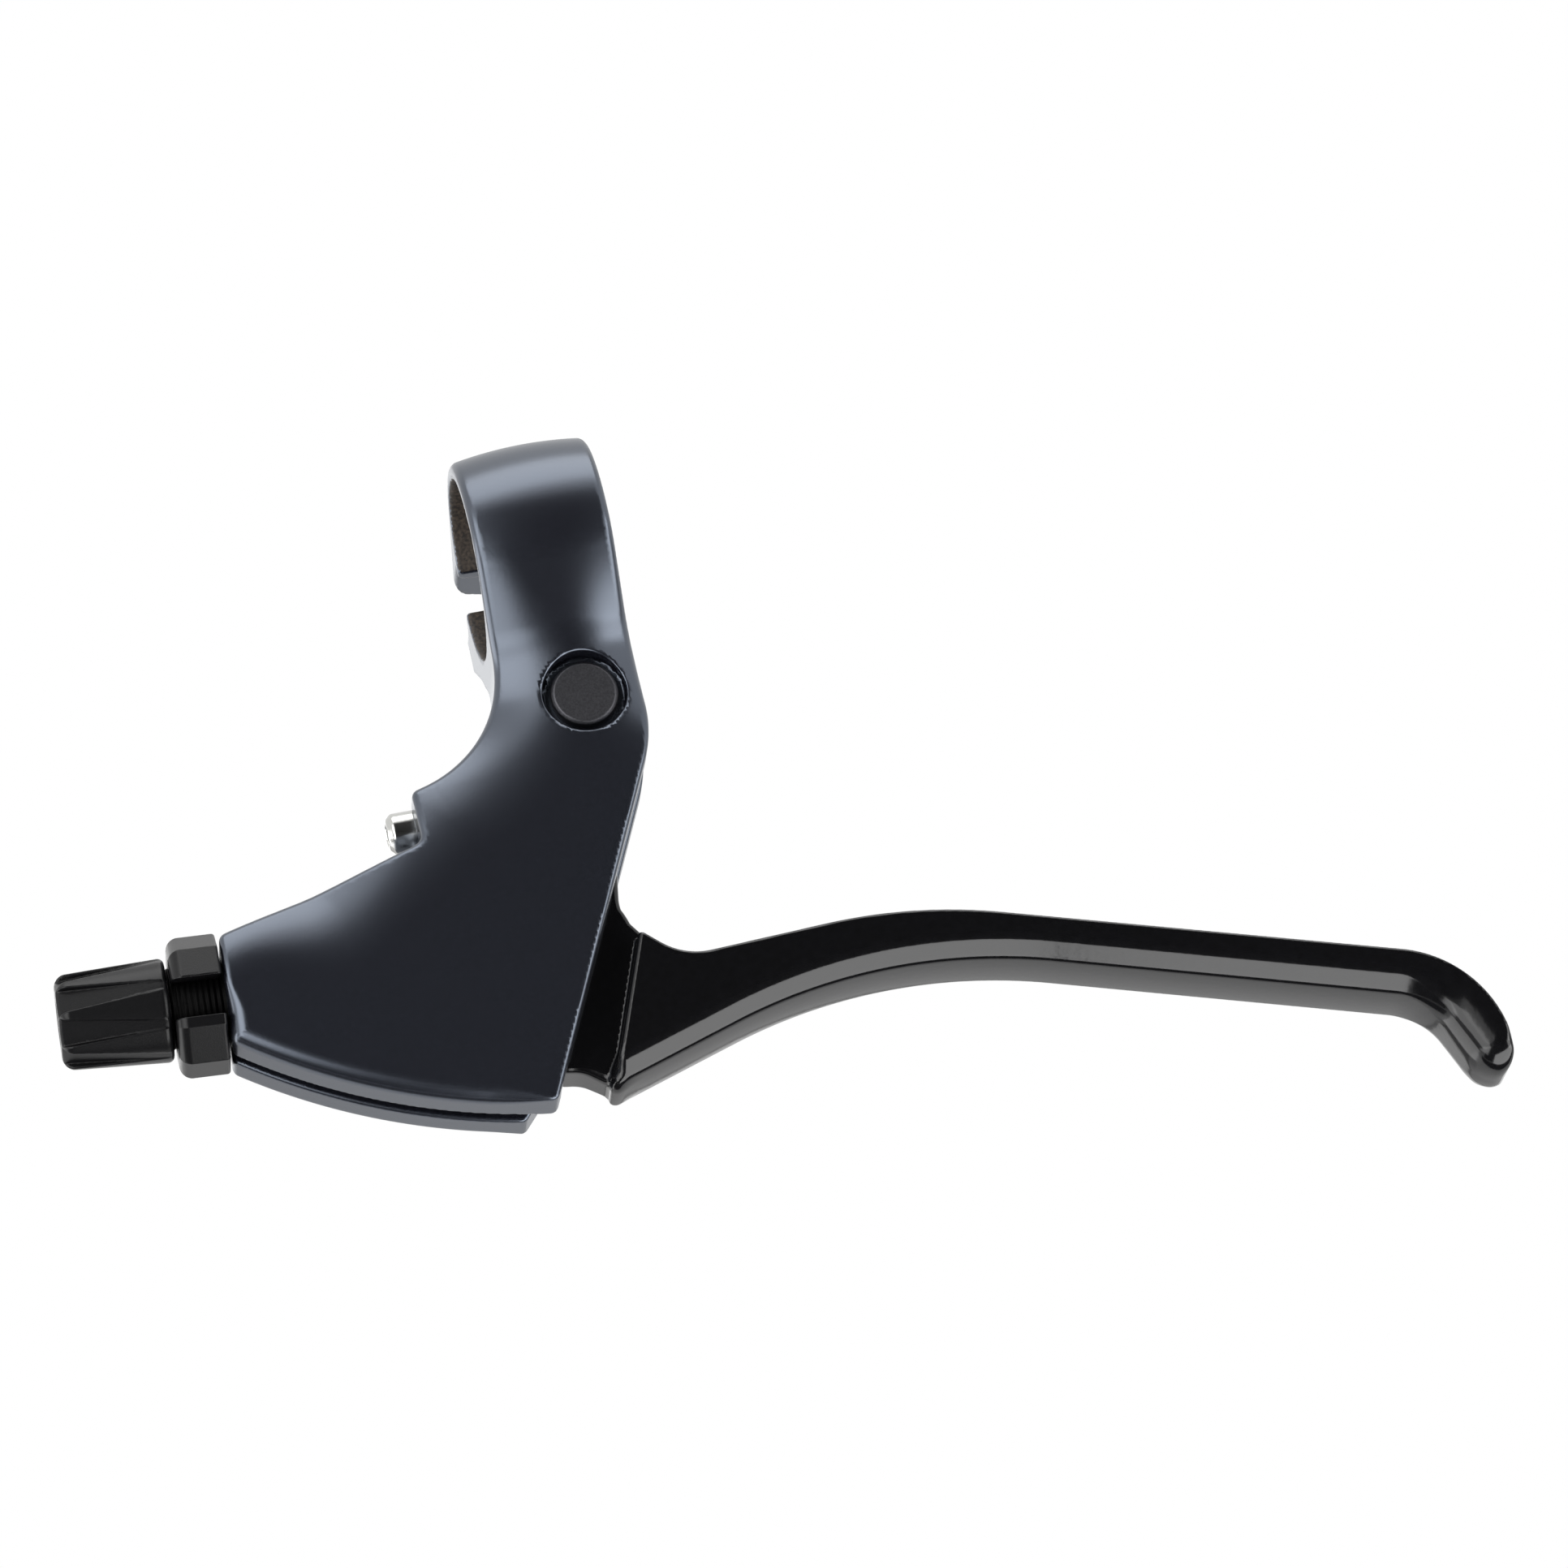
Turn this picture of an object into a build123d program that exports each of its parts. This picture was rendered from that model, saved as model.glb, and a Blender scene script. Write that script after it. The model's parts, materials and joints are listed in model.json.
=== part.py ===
"""Flat-bar bicycle brake lever for the left hand, in millimetres.

The origin is the middle of the handlebar clamp's bore. +X runs along the handlebar towards the lever's tip,
+Z points from the lever across the bar, and the lever swings in the XZ plane about a pin along Y.
"""
import os
from math import acos, atan2, cos, hypot, radians, sin, sqrt, tan

from build123d import *

os.makedirs("parts", exist_ok=True)

# Handlebar clamp
bar_diameter = 22.2
clamp_wall = 2.9
clamp_width = 16.8
lower_jaw_height = -1.0
clamp_gap = 5.0
ear_reach = 8.8
ear_end_height = 2.6
lug_depth = 6.0
ear_corner = 3.5
edge_chamfer = 0.8

# Clamp bolt
bolt_diameter = 5.0
bolt_head_diameter = 8.0
bolt_head_height = 4.0
bolt_offset = 3.9
bolt_seat_depth = 5.5
bolt_thread_length = 3.6
bolt_socket = 4.0
bolt_socket_depth = 2.6
bolt_clearance = 0.15

# Lever pivot
pivot_x = 1.4
pivot_drop = 21.4
axle_diameter = 6.0
axle_cap_diameter = 7.8
axle_cap_height = 1.6
axle_cap_bevel = 0.35
recess_diameter = 10.5
recess_depth = 2.5
axle_fit = 0.03

# Bracket casting
pivot_half_thickness = 8.6
foot_half_thickness = 6.8
neck_slope = 24.0
neck_blend = 12.0
neck_waist = 6.9
waist_drop = 12.0
neck_sweep = 17.5
shoulder_drop = 27.8
shoulder_round = 18.0
heel_x = -12.4
heel_drop = 71.2
foot_sag = 2.2
back_round = 4.5
foot_round = 3.0
nose_x = -47.8
nose_drop = 49.5
nose_above = 6.5
nose_below = 7.0
nose_slope = 14.5
boss_x = -21.4
cable_angle = 3.5
channel_width = 7.8
channel_wall = 5.0
channel_lip = 2.6
channel_back_x = -9.5
thread_depth = 14.6
thread_run_out = 1.0
stem_run_out = 1.5
cable_slot_width = 2.4
far_wall_setback = 4.0
far_notch_height = 9.0

# Lever blade
tongue_thickness = 6.4
tongue_inset = 0.5
blade_depth = 12.6
blade_edge_round = 2.2
knuckle_radius = 6.8
knuckle_clearance = 0.8
tip_x = 101.9
tip_drop = 88.3
tip_width = 5.9
tip_round = 2.8
tip_side_round = 5.5
blade_root_x = 1.2
blade_root_drop = 51.6
blade_root_width = 17.7
blade_root_lean = 5.6
corner_run = 4.8
corner_fall = 4.6
corner_bend = 8.0
crest_run = 33.4
crest_fall = 3.1
crest_bend = 64.0
knee_inset = 1.5
knee_height = 14.1
knee_bend = 14.5
hook_inset = 1.7
hook_height = 10.4
hook_bend = 8.0
finger_run = 29.5
finger_fall = 7.7
finger_bend = 66.0
tongue_shoulder = 4.1
tongue_step = 1.0
tongue_sink = 3.0
tongue_foot_run = 5.5
tongue_foot_rise = 2.4
lobe_radius = 9.5
nipple_diameter = 7.2
nipple_offset = 9.4
nipple_wall = 1.2
cable_cut_width = 2.2

# Pivot bushes
bush_wall = 1.0
bush_flange_diameter = 10.5
bush_side_gap = 0.1
bush_length = 3.0

# Spring clip on the axle
clip_thickness = 0.7
clip_groove_depth = 0.5
clip_width = 2.2
clip_opening = 4.0
clip_recess_diameter = 12.5
axle_tail = 1.1

# Reach screw
screw_diameter = 5.0
screw_drop = 32.2
screw_proud = 3.4
screw_chamfer = 0.7
screw_socket = 2.5
screw_socket_depth = 2.4
screw_fit = 0.05
screw_tip_gap = 0.3

# Cable adjuster and its lock ring
stem_diameter = 9.9
stem_fit = 0.06
ring_gap = 0.3
ring_height = 6.0
ring_diameter = 16.8
ring_sides = 10
ring_chamfer = 0.9
ring_slot_width = 4.7
ring_slot_angle = 10.0
head_gap = 0.4
head_length = 13.2
head_inner_diameter = 12.5
head_outer_diameter = 11.3
head_bevel = 1.0
flute_count = 8
flute_diameter = 5.0
flute_depth = 0.75
housing_diameter = 5.2
housing_depth = 8.0
cable_hole_diameter = 2.4

# Worked-out places
bar_radius = bar_diameter / 2
clamp_radius = bar_radius + clamp_wall
half_clamp = clamp_width / 2
upper_jaw_height = lower_jaw_height + clamp_gap
ear_end = bar_radius + ear_reach
bolt_y = bar_radius + bolt_offset
pivot_z = -pivot_drop
heel_z = -heel_drop
half_channel = channel_width / 2
half_tongue = tongue_thickness / 2
right_face_angle = 36.0
wall_taper = (pivot_half_thickness - foot_half_thickness) / (heel_drop - pivot_drop)
cut_reach = 4 * clamp_radius
touching = 0.01
block_overlap = 1.0


def half_thickness(z):
    """Half the bracket's thickness at height z, on its two tapered side faces."""
    return pivot_half_thickness + (z - pivot_z) * wall_taper


def faces_right(face):
    """True for a face of the casting that looks along the bar towards the lever's tip."""
    return face.normal_at().get_angle(Vector(1, 0, 0)) < right_face_angle


# The cable's line leaves the nose outwards along cable_out, and cable_up is square to it.
cable_out = (-cos(radians(cable_angle)), sin(radians(cable_angle)))
cable_up = (cable_out[1], -cable_out[0])
nose_z = -nose_drop
nose_top = (nose_x + nose_above * cable_up[0], nose_z + nose_above * cable_up[1])
nose_foot = (nose_x - nose_below * cable_up[0], nose_z - nose_below * cable_up[1])
cable_plane = Plane(origin=(nose_x, 0, nose_z), x_dir=(0, 1, 0), z_dir=(cable_out[0], 0, cable_out[1]))
cable_axis = Axis((nose_x, 0, nose_z), (cable_out[0], 0, cable_out[1]))

# The right edge drops from the clamp, bends at the shoulder and runs straight to the heel.
shoulder = (half_clamp, -shoulder_drop)
heel = (heel_x, heel_z)
right_lean = (shoulder[0] - heel[0]) / (shoulder[1] - heel[1])


def right_edge(z):
    """X of the leaning right edge at height z."""
    return heel[0] + (z - heel[1]) * right_lean


def nose_line(x):
    """Height of the nose's upper line at x."""
    return nose_top[1] + (x - nose_top[0]) * tan(radians(nose_slope))


def cable_height(x):
    """Height of the cable's line at x."""
    return nose_z + (x - nose_x) * cable_out[1] / cable_out[0]


# The foot's underside is an arc from the nose to the heel.
foot_chord = hypot(heel[0] - nose_foot[0], heel[1] - nose_foot[1])
foot_fall = atan2(nose_foot[1] - heel[1], heel[0] - nose_foot[0])
foot_radius = (foot_chord**2 / 4 + foot_sag**2) / (2 * foot_sag)
foot_centre = (
    (nose_foot[0] + heel[0]) / 2 + (foot_radius - foot_sag) * sin(foot_fall),
    (nose_foot[1] + heel[1]) / 2 + (foot_radius - foot_sag) * cos(foot_fall),
)


def foot_height(x):
    """Height of the foot's underside at x."""
    return foot_centre[1] - sqrt(foot_radius**2 - (x - foot_centre[0]) ** 2)


foot_middle_x = (nose_foot[0] + heel[0]) / 2
foot_middle = (foot_middle_x, foot_height(foot_middle_x))

# The neck's left edge is an arc that ends in the line of the boss's top.
sweep_centre = (-neck_waist - neck_sweep, -waist_drop)
sweep_end = (
    sweep_centre[0] + neck_sweep * sin(radians(nose_slope)),
    sweep_centre[1] - neck_sweep * cos(radians(nose_slope)),
)
sweep_middle = (
    sweep_centre[0] + neck_sweep * cos(radians(45 - nose_slope / 2)),
    sweep_centre[1] - neck_sweep * sin(radians(45 - nose_slope / 2)),
)
boss_top = sweep_end[1] + (boss_x - sweep_end[0]) * tan(radians(nose_slope))
boss_foot = nose_line(boss_x) - back_round - block_overlap
channel_start = nose_x + thread_depth - thread_run_out
channel_floor_start = (heel[0], heel[1] + channel_lip)
channel_floor_middle = (foot_middle[0], foot_middle[1] + channel_lip)
channel_floor_end = (channel_start, foot_height(channel_start) + channel_lip)
recess_floor = pivot_half_thickness - recess_depth
bolt_seat = lower_jaw_height - bolt_seat_depth
tip_back = (tip_x, -tip_drop)
tip_front = (tip_x - tip_width, -tip_drop)
root_back = (blade_root_x, -blade_root_drop)
root_front = (blade_root_x - blade_root_lean, -blade_root_drop - blade_root_width)
tongue_back_x = pivot_x - knuckle_radius
nipple_x = pivot_x - nipple_offset
nipple_z = cable_height(nipple_x)
lobe_x = nipple_x - lobe_radius
bush_inner = axle_diameter / 2 + axle_fit
bush_outer = bush_inner + bush_wall
bush_flange = half_channel - half_tongue - bush_side_gap
slot_middle = (
    -ring_diameter / 2 * cos(radians(ring_slot_angle)),
    ring_diameter / 2 * sin(radians(ring_slot_angle)),
)

# Foot of the bracket: the hollow housing from the nose to the heel
with BuildSketch(Plane.YZ) as taper:
    with BuildLine():
        Polyline(
            (-half_thickness(0), 0),
            (half_thickness(0), 0),
            (half_thickness(2 * heel_z), 2 * heel_z),
            (-half_thickness(2 * heel_z), 2 * heel_z),
            close=True,
        )
    make_face()

foot_inner_x = boss_x + back_round + neck_waist
foot_inner = (foot_inner_x, nose_line(foot_inner_x))
foot_right = (right_edge(foot_inner[1] - back_round), foot_inner[1] - back_round)
with BuildPart() as foot:
    with BuildSketch(Plane.XZ):
        with BuildLine():
            Polyline(nose_foot, nose_top, foot_inner, foot_right, heel)
            ThreePointArc(heel, foot_middle, nose_foot)
        make_face()
    extrude(amount=cut_reach, both=True)
    extrude(taper.sketch, amount=2 * heel_drop, both=True, mode=Mode.INTERSECT)
    side_edges = foot.edges().filter_by(Axis.Y, reverse=True)
    fillet(side_edges.group_by(Axis.Z)[0], foot_round)
    top_edges = foot.edges().filter_by(Axis.Y, reverse=True).filter_by(
        lambda e: abs((e @ 0.5).Z - nose_line((e @ 0.5).X)) < touching
    )
    fillet(top_edges, back_round)
    nose_face = foot.faces().sort_by(Axis.X)[0]
    chamfer(nose_face.edges(), edge_chamfer)
    right_faces = foot.faces().filter_by(faces_right)
    chamfer(right_faces.edges().filter_by(Axis.Y, reverse=True), edge_chamfer)

# Neck of the bracket with the boss of the reach screw
neck_foot = (right_edge(boss_foot - back_round), boss_foot - back_round)
with BuildPart() as neck:
    with BuildSketch(Plane.XZ):
        with BuildLine():
            FilletPolyline((half_clamp, -waist_drop), shoulder, neck_foot, radius=shoulder_round)
            Polyline(neck_foot, (boss_x, boss_foot), (boss_x, boss_top), sweep_end)
            ThreePointArc(sweep_end, sweep_middle, (-neck_waist, -waist_drop))
            Line((-neck_waist, -waist_drop), (half_clamp, -waist_drop))
        make_face()
    extrude(amount=cut_reach, both=True)
    extrude(taper.sketch, amount=2 * heel_drop, both=True, mode=Mode.INTERSECT)
    back_edges = neck.edges().filter_by(Axis.Y, reverse=True).filter_by(
        lambda e: (e @ 0.5).X < -neck_waist and (e @ 0.5).Z > boss_foot
    )
    fillet(back_edges, back_round)
    right_faces = neck.faces().filter_by(faces_right)
    chamfer(right_faces.edges().filter_by(Axis.Y, reverse=True), edge_chamfer)

# Clamp ring with its two ears, seen along the bar
lean = radians(neck_slope)
ring_side = (clamp_radius * cos(lean), -clamp_radius * sin(lean))
side_run = (ring_side[0] - half_thickness(ring_side[1])) / (sin(lean) - wall_taper * cos(lean))
neck_corner = (ring_side[0] - side_run * sin(lean), ring_side[1] - side_run * cos(lean))
neck_end = (half_thickness(pivot_z), pivot_z)
ear_tip = (ear_end, upper_jaw_height + ear_end_height)
ear_touch = atan2(ear_tip[1], ear_tip[0]) + acos(clamp_radius / hypot(*ear_tip))
ear_root = (clamp_radius * cos(ear_touch), clamp_radius * sin(ear_touch))
with BuildPart() as bracket:
    with BuildSketch(Plane.YZ):
        Circle(clamp_radius)
        with BuildLine():
            FilletPolyline(ring_side, neck_corner, neck_end, radius=neck_blend)
            Line(neck_end, (-neck_end[0], neck_end[1]))
            FilletPolyline(
                (-neck_end[0], neck_end[1]),
                (-neck_corner[0], neck_corner[1]),
                (-ring_side[0], ring_side[1]),
                radius=neck_blend,
            )
            Line((-ring_side[0], ring_side[1]), ring_side)
        make_face()
        with BuildLine():
            Polyline(
                (0, lower_jaw_height),
                (ear_end, lower_jaw_height),
                (ear_end, lower_jaw_height - lug_depth),
                neck_corner,
                (0, neck_corner[1]),
                close=True,
            )
        make_face()
        with BuildLine():
            Polyline(
                (0, upper_jaw_height),
                (ear_end, upper_jaw_height),
                ear_tip,
                ear_root,
                (0, ear_root[1]),
                close=True,
            )
        make_face()
        Circle(bar_radius, mode=Mode.SUBTRACT)
        with Locations((cut_reach / 2, (lower_jaw_height + upper_jaw_height) / 2)):
            Rectangle(cut_reach, clamp_gap, mode=Mode.SUBTRACT)
    extrude(amount=half_clamp, both=True)
    fillet(bracket.edges().filter_by(Axis.Z).group_by(Axis.Y)[-1], ear_corner)
    left_face = bracket.faces().filter_by(Axis.X).sort_by(Axis.X)[0]
    rim_edges = left_face.edges().filter_by(lambda e: hypot((e @ 0.5).Y, (e @ 0.5).Z) > clamp_radius - touching)
    rim_edges = rim_edges.filter_by(lambda e: (e @ 0.5).Z > neck_end[1] + touching)
    chamfer(rim_edges, edge_chamfer)
    add(foot.part)
    add(neck.part)

    # The lever's channel, open to the right, with a lip left along the foot
    with BuildSketch(Plane.XZ):
        with Locations((pivot_x, pivot_z)):
            Circle(knuckle_radius + knuckle_clearance)
        with BuildLine():
            Polyline(
                channel_floor_end,
                (channel_start, nose_line(channel_start) - channel_wall),
                (channel_back_x, nose_line(channel_back_x) - channel_wall),
                (pivot_x - knuckle_radius - knuckle_clearance, pivot_z),
                (half_clamp + knuckle_clearance, pivot_z),
                (half_clamp + knuckle_clearance, channel_floor_start[1]),
                channel_floor_start,
            )
            ThreePointArc(channel_floor_start, channel_floor_middle, channel_floor_end)
        make_face()
    extrude(amount=half_channel, both=True, mode=Mode.SUBTRACT)

    # The slot along the foot that lets the cable in
    with BuildSketch(Plane.XZ):
        with BuildLine():
            Polyline(
                (nose_x - clamp_width, cable_height(nose_x - clamp_width)),
                (half_clamp, cable_height(half_clamp)),
                (half_clamp, 2 * heel_z),
                (nose_x - clamp_width, 2 * heel_z),
                close=True,
            )
        make_face()
    extrude(amount=cable_slot_width / 2, both=True, mode=Mode.SUBTRACT)

    # The far wall stops short of the heel
    with BuildSketch(Plane.XZ):
        with BuildLine():
            Polyline(
                (heel_x - far_wall_setback, heel_z - foot_round),
                (heel_x - far_wall_setback, heel_z),
                (right_edge(heel_z + far_notch_height), heel_z + far_notch_height),
                (half_clamp, heel_z + far_notch_height),
                (half_clamp, heel_z - foot_round),
                close=True,
            )
        make_face()
    extrude(amount=-cut_reach, mode=Mode.SUBTRACT)

    # Threaded hole of the cable adjuster
    with BuildSketch(cable_plane):
        Circle(stem_diameter / 2 + stem_fit)
    extrude(amount=-thread_depth, mode=Mode.SUBTRACT)

    # Axle hole with a recess on each side
    with BuildSketch(Plane.XZ.offset(recess_floor)):
        with Locations((pivot_x, pivot_z)):
            Circle(recess_diameter / 2)
    extrude(amount=cut_reach, mode=Mode.SUBTRACT)
    with BuildSketch(Plane.XZ.offset(-recess_floor)):
        with Locations((pivot_x, pivot_z)):
            Circle(clip_recess_diameter / 2)
    extrude(amount=-cut_reach, mode=Mode.SUBTRACT)
    with BuildSketch(Plane.XZ):
        with Locations((pivot_x, pivot_z)):
            Circle(axle_diameter / 2 + axle_fit)
    extrude(amount=cut_reach, both=True, mode=Mode.SUBTRACT)

    # Threaded hole of the reach screw
    with BuildSketch(Plane.YZ.offset(boss_x - screw_proud)):
        with Locations((0, -screw_drop)):
            Circle(screw_diameter / 2 + screw_fit)
    extrude(amount=pivot_x - boss_x, mode=Mode.SUBTRACT)

    # Clamp bolt: clearance hole and head seat in the lower ear, thread in the upper ear
    with BuildSketch(Plane.XY.offset(bolt_seat)):
        with Locations((0, bolt_y)):
            Circle(bolt_diameter / 2 + bolt_clearance)
    extrude(amount=cut_reach, mode=Mode.SUBTRACT)
    with BuildSketch(Plane.XY.offset(bolt_seat)):
        with Locations((0, bolt_y)):
            Circle(bolt_head_diameter / 2 + bolt_clearance)
    extrude(amount=-cut_reach, mode=Mode.SUBTRACT)

bracket.part.label = "bracket"
export_step(bracket.part, "parts/bracket.step")

# Lever blade: a flat tongue in the channel and a rounded blade for two fingers, one forging
with BuildPart() as lever_blade:
    with BuildSketch(Plane.XZ.offset(-blade_depth / 2)) as blade_outline:
        with BuildLine():
            Line(root_front, root_back)
            FilletPolyline(
                root_back,
                (root_back[0] + corner_run, root_back[1] - corner_fall),
                (root_back[0] + crest_run, root_back[1] - crest_fall),
                (tip_back[0] - knee_inset, tip_back[1] + knee_height),
                tip_back,
                radius=(corner_bend, crest_bend, knee_bend),
            )
            Line(tip_back, tip_front)
            FilletPolyline(
                tip_front,
                (tip_front[0] - hook_inset, tip_front[1] + hook_height),
                (root_back[0] + finger_run, root_back[1] - finger_fall),
                root_front,
                radius=(hook_bend, finger_bend),
            )
        make_face()
        fillet(blade_outline.vertices().group_by(Axis.Y)[0], tip_round)
    extrude(amount=blade_depth)
    root_face = lever_blade.faces().sort_by(Axis.X)[0]
    rim_edges = lever_blade.edges().filter_by(Axis.Y, reverse=True) - root_face.edges()
    fillet(rim_edges, blade_edge_round)
    with BuildSketch(Plane.YZ) as blade_end:
        Rectangle(blade_depth, 2 * tip_drop)
        fillet(blade_end.vertices().group_by(Axis.Y)[0], tip_side_round)
    extrude(amount=2 * tip_x, both=True, mode=Mode.INTERSECT)

    # Tongue with the knuckle around the pivot and the lobe that carries the cable's nipple
    with BuildSketch(Plane.XZ):
        with Locations((pivot_x, pivot_z)):
            Circle(knuckle_radius)
        with Locations((nipple_x, nipple_z)):
            Circle(lobe_radius)
        with BuildLine():
            Polyline(
                (tongue_back_x, pivot_z),
                (pivot_x + knuckle_radius, pivot_z),
                (right_edge(-screw_drop) - tongue_inset, -screw_drop),
                (right_edge(boss_foot) - tongue_inset, boss_foot),
                (root_back[0] - tongue_step, root_back[1] + tongue_shoulder),
                (root_back[0] + tongue_step, root_back[1] - tongue_sink),
                (root_front[0] + tongue_sink, root_front[1] + tongue_sink),
                (root_front[0], root_front[1] + tongue_foot_rise),
                (root_front[0] - tongue_foot_run, root_front[1] + tongue_foot_rise),
                (lobe_x, nipple_z),
                (tongue_back_x, -screw_drop - screw_diameter / 2),
                close=True,
            )
        make_face()
    extrude(amount=half_tongue, both=True)

    # Bore for the bushes
    with BuildSketch(Plane.XZ):
        with Locations((pivot_x, pivot_z)):
            Circle(bush_outer)
    extrude(amount=blade_depth, both=True, mode=Mode.SUBTRACT)

    # Pocket of the cable's nipple, open on the far side, and the cut that lets the cable in
    with BuildSketch(Plane.XZ.offset(half_tongue - nipple_wall)):
        with Locations((nipple_x, nipple_z)):
            Circle(nipple_diameter / 2)
    extrude(amount=-blade_depth, mode=Mode.SUBTRACT)
    with BuildSketch(Plane.XZ):
        with BuildLine():
            Polyline(
                (nipple_x, nipple_z + cable_cut_width / 2),
                (nipple_x, nipple_z),
                (nipple_x - nipple_diameter / 2, nipple_z - nipple_diameter / 2),
                (nipple_x - nipple_diameter / 2, 2 * nipple_z),
                (2 * lobe_x, 2 * nipple_z),
                (2 * lobe_x, nipple_z + cable_cut_width / 2),
                close=True,
            )
        make_face()
    extrude(amount=cable_cut_width / 2, both=True, mode=Mode.SUBTRACT)

lever_blade.part.label = "lever_blade"
export_step(lever_blade.part, "parts/lever_blade.step")

# Pivot bushes: two flanged plastic bushes pressed into the knuckle from its sides
with BuildPart() as pivot_bush_near:
    with BuildSketch(Plane.XZ.offset(half_tongue)):
        with Locations((pivot_x, pivot_z)):
            Circle(bush_flange_diameter / 2)
            Circle(bush_inner, mode=Mode.SUBTRACT)
    extrude(amount=bush_flange)
    with BuildSketch(Plane.XZ.offset(half_tongue)):
        with Locations((pivot_x, pivot_z)):
            Circle(bush_outer)
            Circle(bush_inner, mode=Mode.SUBTRACT)
    extrude(amount=-bush_length)

pivot_bush_near.part.label = "pivot_bush_near"
export_step(pivot_bush_near.part, "parts/pivot_bush_near.step")

with BuildPart() as pivot_bush_far:
    with BuildSketch(Plane.XZ.offset(-half_tongue)):
        with Locations((pivot_x, pivot_z)):
            Circle(bush_flange_diameter / 2)
            Circle(bush_inner, mode=Mode.SUBTRACT)
    extrude(amount=-bush_flange)
    with BuildSketch(Plane.XZ.offset(-half_tongue)):
        with Locations((pivot_x, pivot_z)):
            Circle(bush_outer)
            Circle(bush_inner, mode=Mode.SUBTRACT)
    extrude(amount=bush_length)

pivot_bush_far.part.label = "pivot_bush_far"
export_step(pivot_bush_far.part, "parts/pivot_bush_far.step")

# Pivot axle: a turned pin with a low cap on the near side and a clip groove on the far side
with BuildPart() as pivot_axle:
    with BuildSketch(Plane.XZ.offset(recess_floor)):
        with Locations((pivot_x, pivot_z)):
            Circle(axle_cap_diameter / 2)
    extrude(amount=axle_cap_height)
    chamfer(pivot_axle.edges().group_by(Axis.Y)[0], axle_cap_bevel)
    with BuildSketch(Plane.XZ.offset(recess_floor)):
        with Locations((pivot_x, pivot_z)):
            Circle(axle_diameter / 2)
    extrude(amount=-2 * recess_floor - clip_thickness - axle_tail)
    with BuildSketch(Plane.XZ.offset(-recess_floor)):
        with Locations((pivot_x, pivot_z)):
            Circle(axle_diameter / 2 + axle_fit)
            Circle(axle_diameter / 2 - clip_groove_depth, mode=Mode.SUBTRACT)
    extrude(amount=-clip_thickness, mode=Mode.SUBTRACT)

pivot_axle.part.label = "pivot_axle"
export_step(pivot_axle.part, "parts/pivot_axle.step")

# Spring clip in the axle's groove, against the far recess's floor
with BuildPart() as axle_clip:
    with BuildSketch(Plane.XZ.offset(-recess_floor)):
        with Locations((pivot_x, pivot_z)):
            Circle(axle_diameter / 2 + clip_width)
            Circle(axle_diameter / 2 - clip_groove_depth, mode=Mode.SUBTRACT)
        with Locations((pivot_x, pivot_z - axle_diameter)):
            Rectangle(clip_opening, 2 * axle_diameter, mode=Mode.SUBTRACT)
    extrude(amount=-clip_thickness)

axle_clip.part.label = "axle_clip"
export_step(axle_clip.part, "parts/axle_clip.step")

# Reach screw: a grub screw through the boss whose tip sets where the lever rests
with BuildPart() as reach_screw:
    with BuildSketch(Plane.YZ.offset(boss_x - screw_proud)):
        with Locations((0, -screw_drop)):
            Circle(screw_diameter / 2)
    extrude(amount=tongue_back_x - screw_tip_gap - boss_x + screw_proud)
    chamfer(reach_screw.edges().group_by(Axis.X)[0], screw_chamfer)
    chamfer(reach_screw.edges().group_by(Axis.X)[-1], screw_chamfer)
    with BuildSketch(Plane.YZ.offset(boss_x - screw_proud)):
        with Locations((0, -screw_drop)):
            RegularPolygon(screw_socket / 2, 6, major_radius=False)
    extrude(amount=screw_socket_depth, mode=Mode.SUBTRACT)

reach_screw.part.label = "reach_screw"
export_step(reach_screw.part, "parts/reach_screw.step")

# Clamp bolt: a socket-head screw from below that pulls the two ears together
with BuildPart() as clamp_bolt:
    with BuildSketch(Plane.XY.offset(bolt_seat)):
        with Locations((0, bolt_y)):
            Circle(bolt_diameter / 2)
    extrude(amount=upper_jaw_height + bolt_thread_length - bolt_seat)
    with BuildSketch(Plane.XY.offset(bolt_seat)):
        with Locations((0, bolt_y)):
            Circle(bolt_head_diameter / 2)
    extrude(amount=-bolt_head_height)
    with BuildSketch(Plane.XY.offset(bolt_seat - bolt_head_height)):
        with Locations((0, bolt_y)):
            RegularPolygon(bolt_socket / 2, 6, major_radius=False)
    extrude(amount=bolt_socket_depth, mode=Mode.SUBTRACT)

clamp_bolt.part.label = "clamp_bolt"
export_step(clamp_bolt.part, "parts/clamp_bolt.step")

# Cable adjuster: a fluted barrel on a threaded stem, hollow for the cable and its housing
head_start = ring_gap + ring_height + head_gap
head_end = head_start + head_length
barrel_plane = Plane(origin=(nose_x, 0, nose_z), x_dir=(cable_out[0], 0, cable_out[1]), z_dir=(0, -1, 0))
with BuildPart() as barrel_adjuster:
    with BuildSketch(barrel_plane):
        with BuildLine():
            Polyline(
                (stem_run_out - thread_depth, cable_hole_diameter / 2),
                (stem_run_out - thread_depth, stem_diameter / 2),
                (head_start, stem_diameter / 2),
                (head_start, head_inner_diameter / 2),
                (head_end - head_bevel, head_outer_diameter / 2),
                (head_end, head_outer_diameter / 2 - head_bevel),
                (head_end, housing_diameter / 2),
                (head_end - housing_depth, housing_diameter / 2),
                (head_end - housing_depth, cable_hole_diameter / 2),
                close=True,
            )
        make_face()
    revolve(axis=cable_axis)
    with BuildSketch(cable_plane.offset(head_start)):
        with PolarLocations(head_inner_diameter / 2 - flute_depth + flute_diameter / 2, flute_count):
            Circle(flute_diameter / 2)
    extrude(amount=head_length, mode=Mode.SUBTRACT)

barrel_adjuster.part.label = "barrel_adjuster"
export_step(barrel_adjuster.part, "parts/barrel_adjuster.step")

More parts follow.
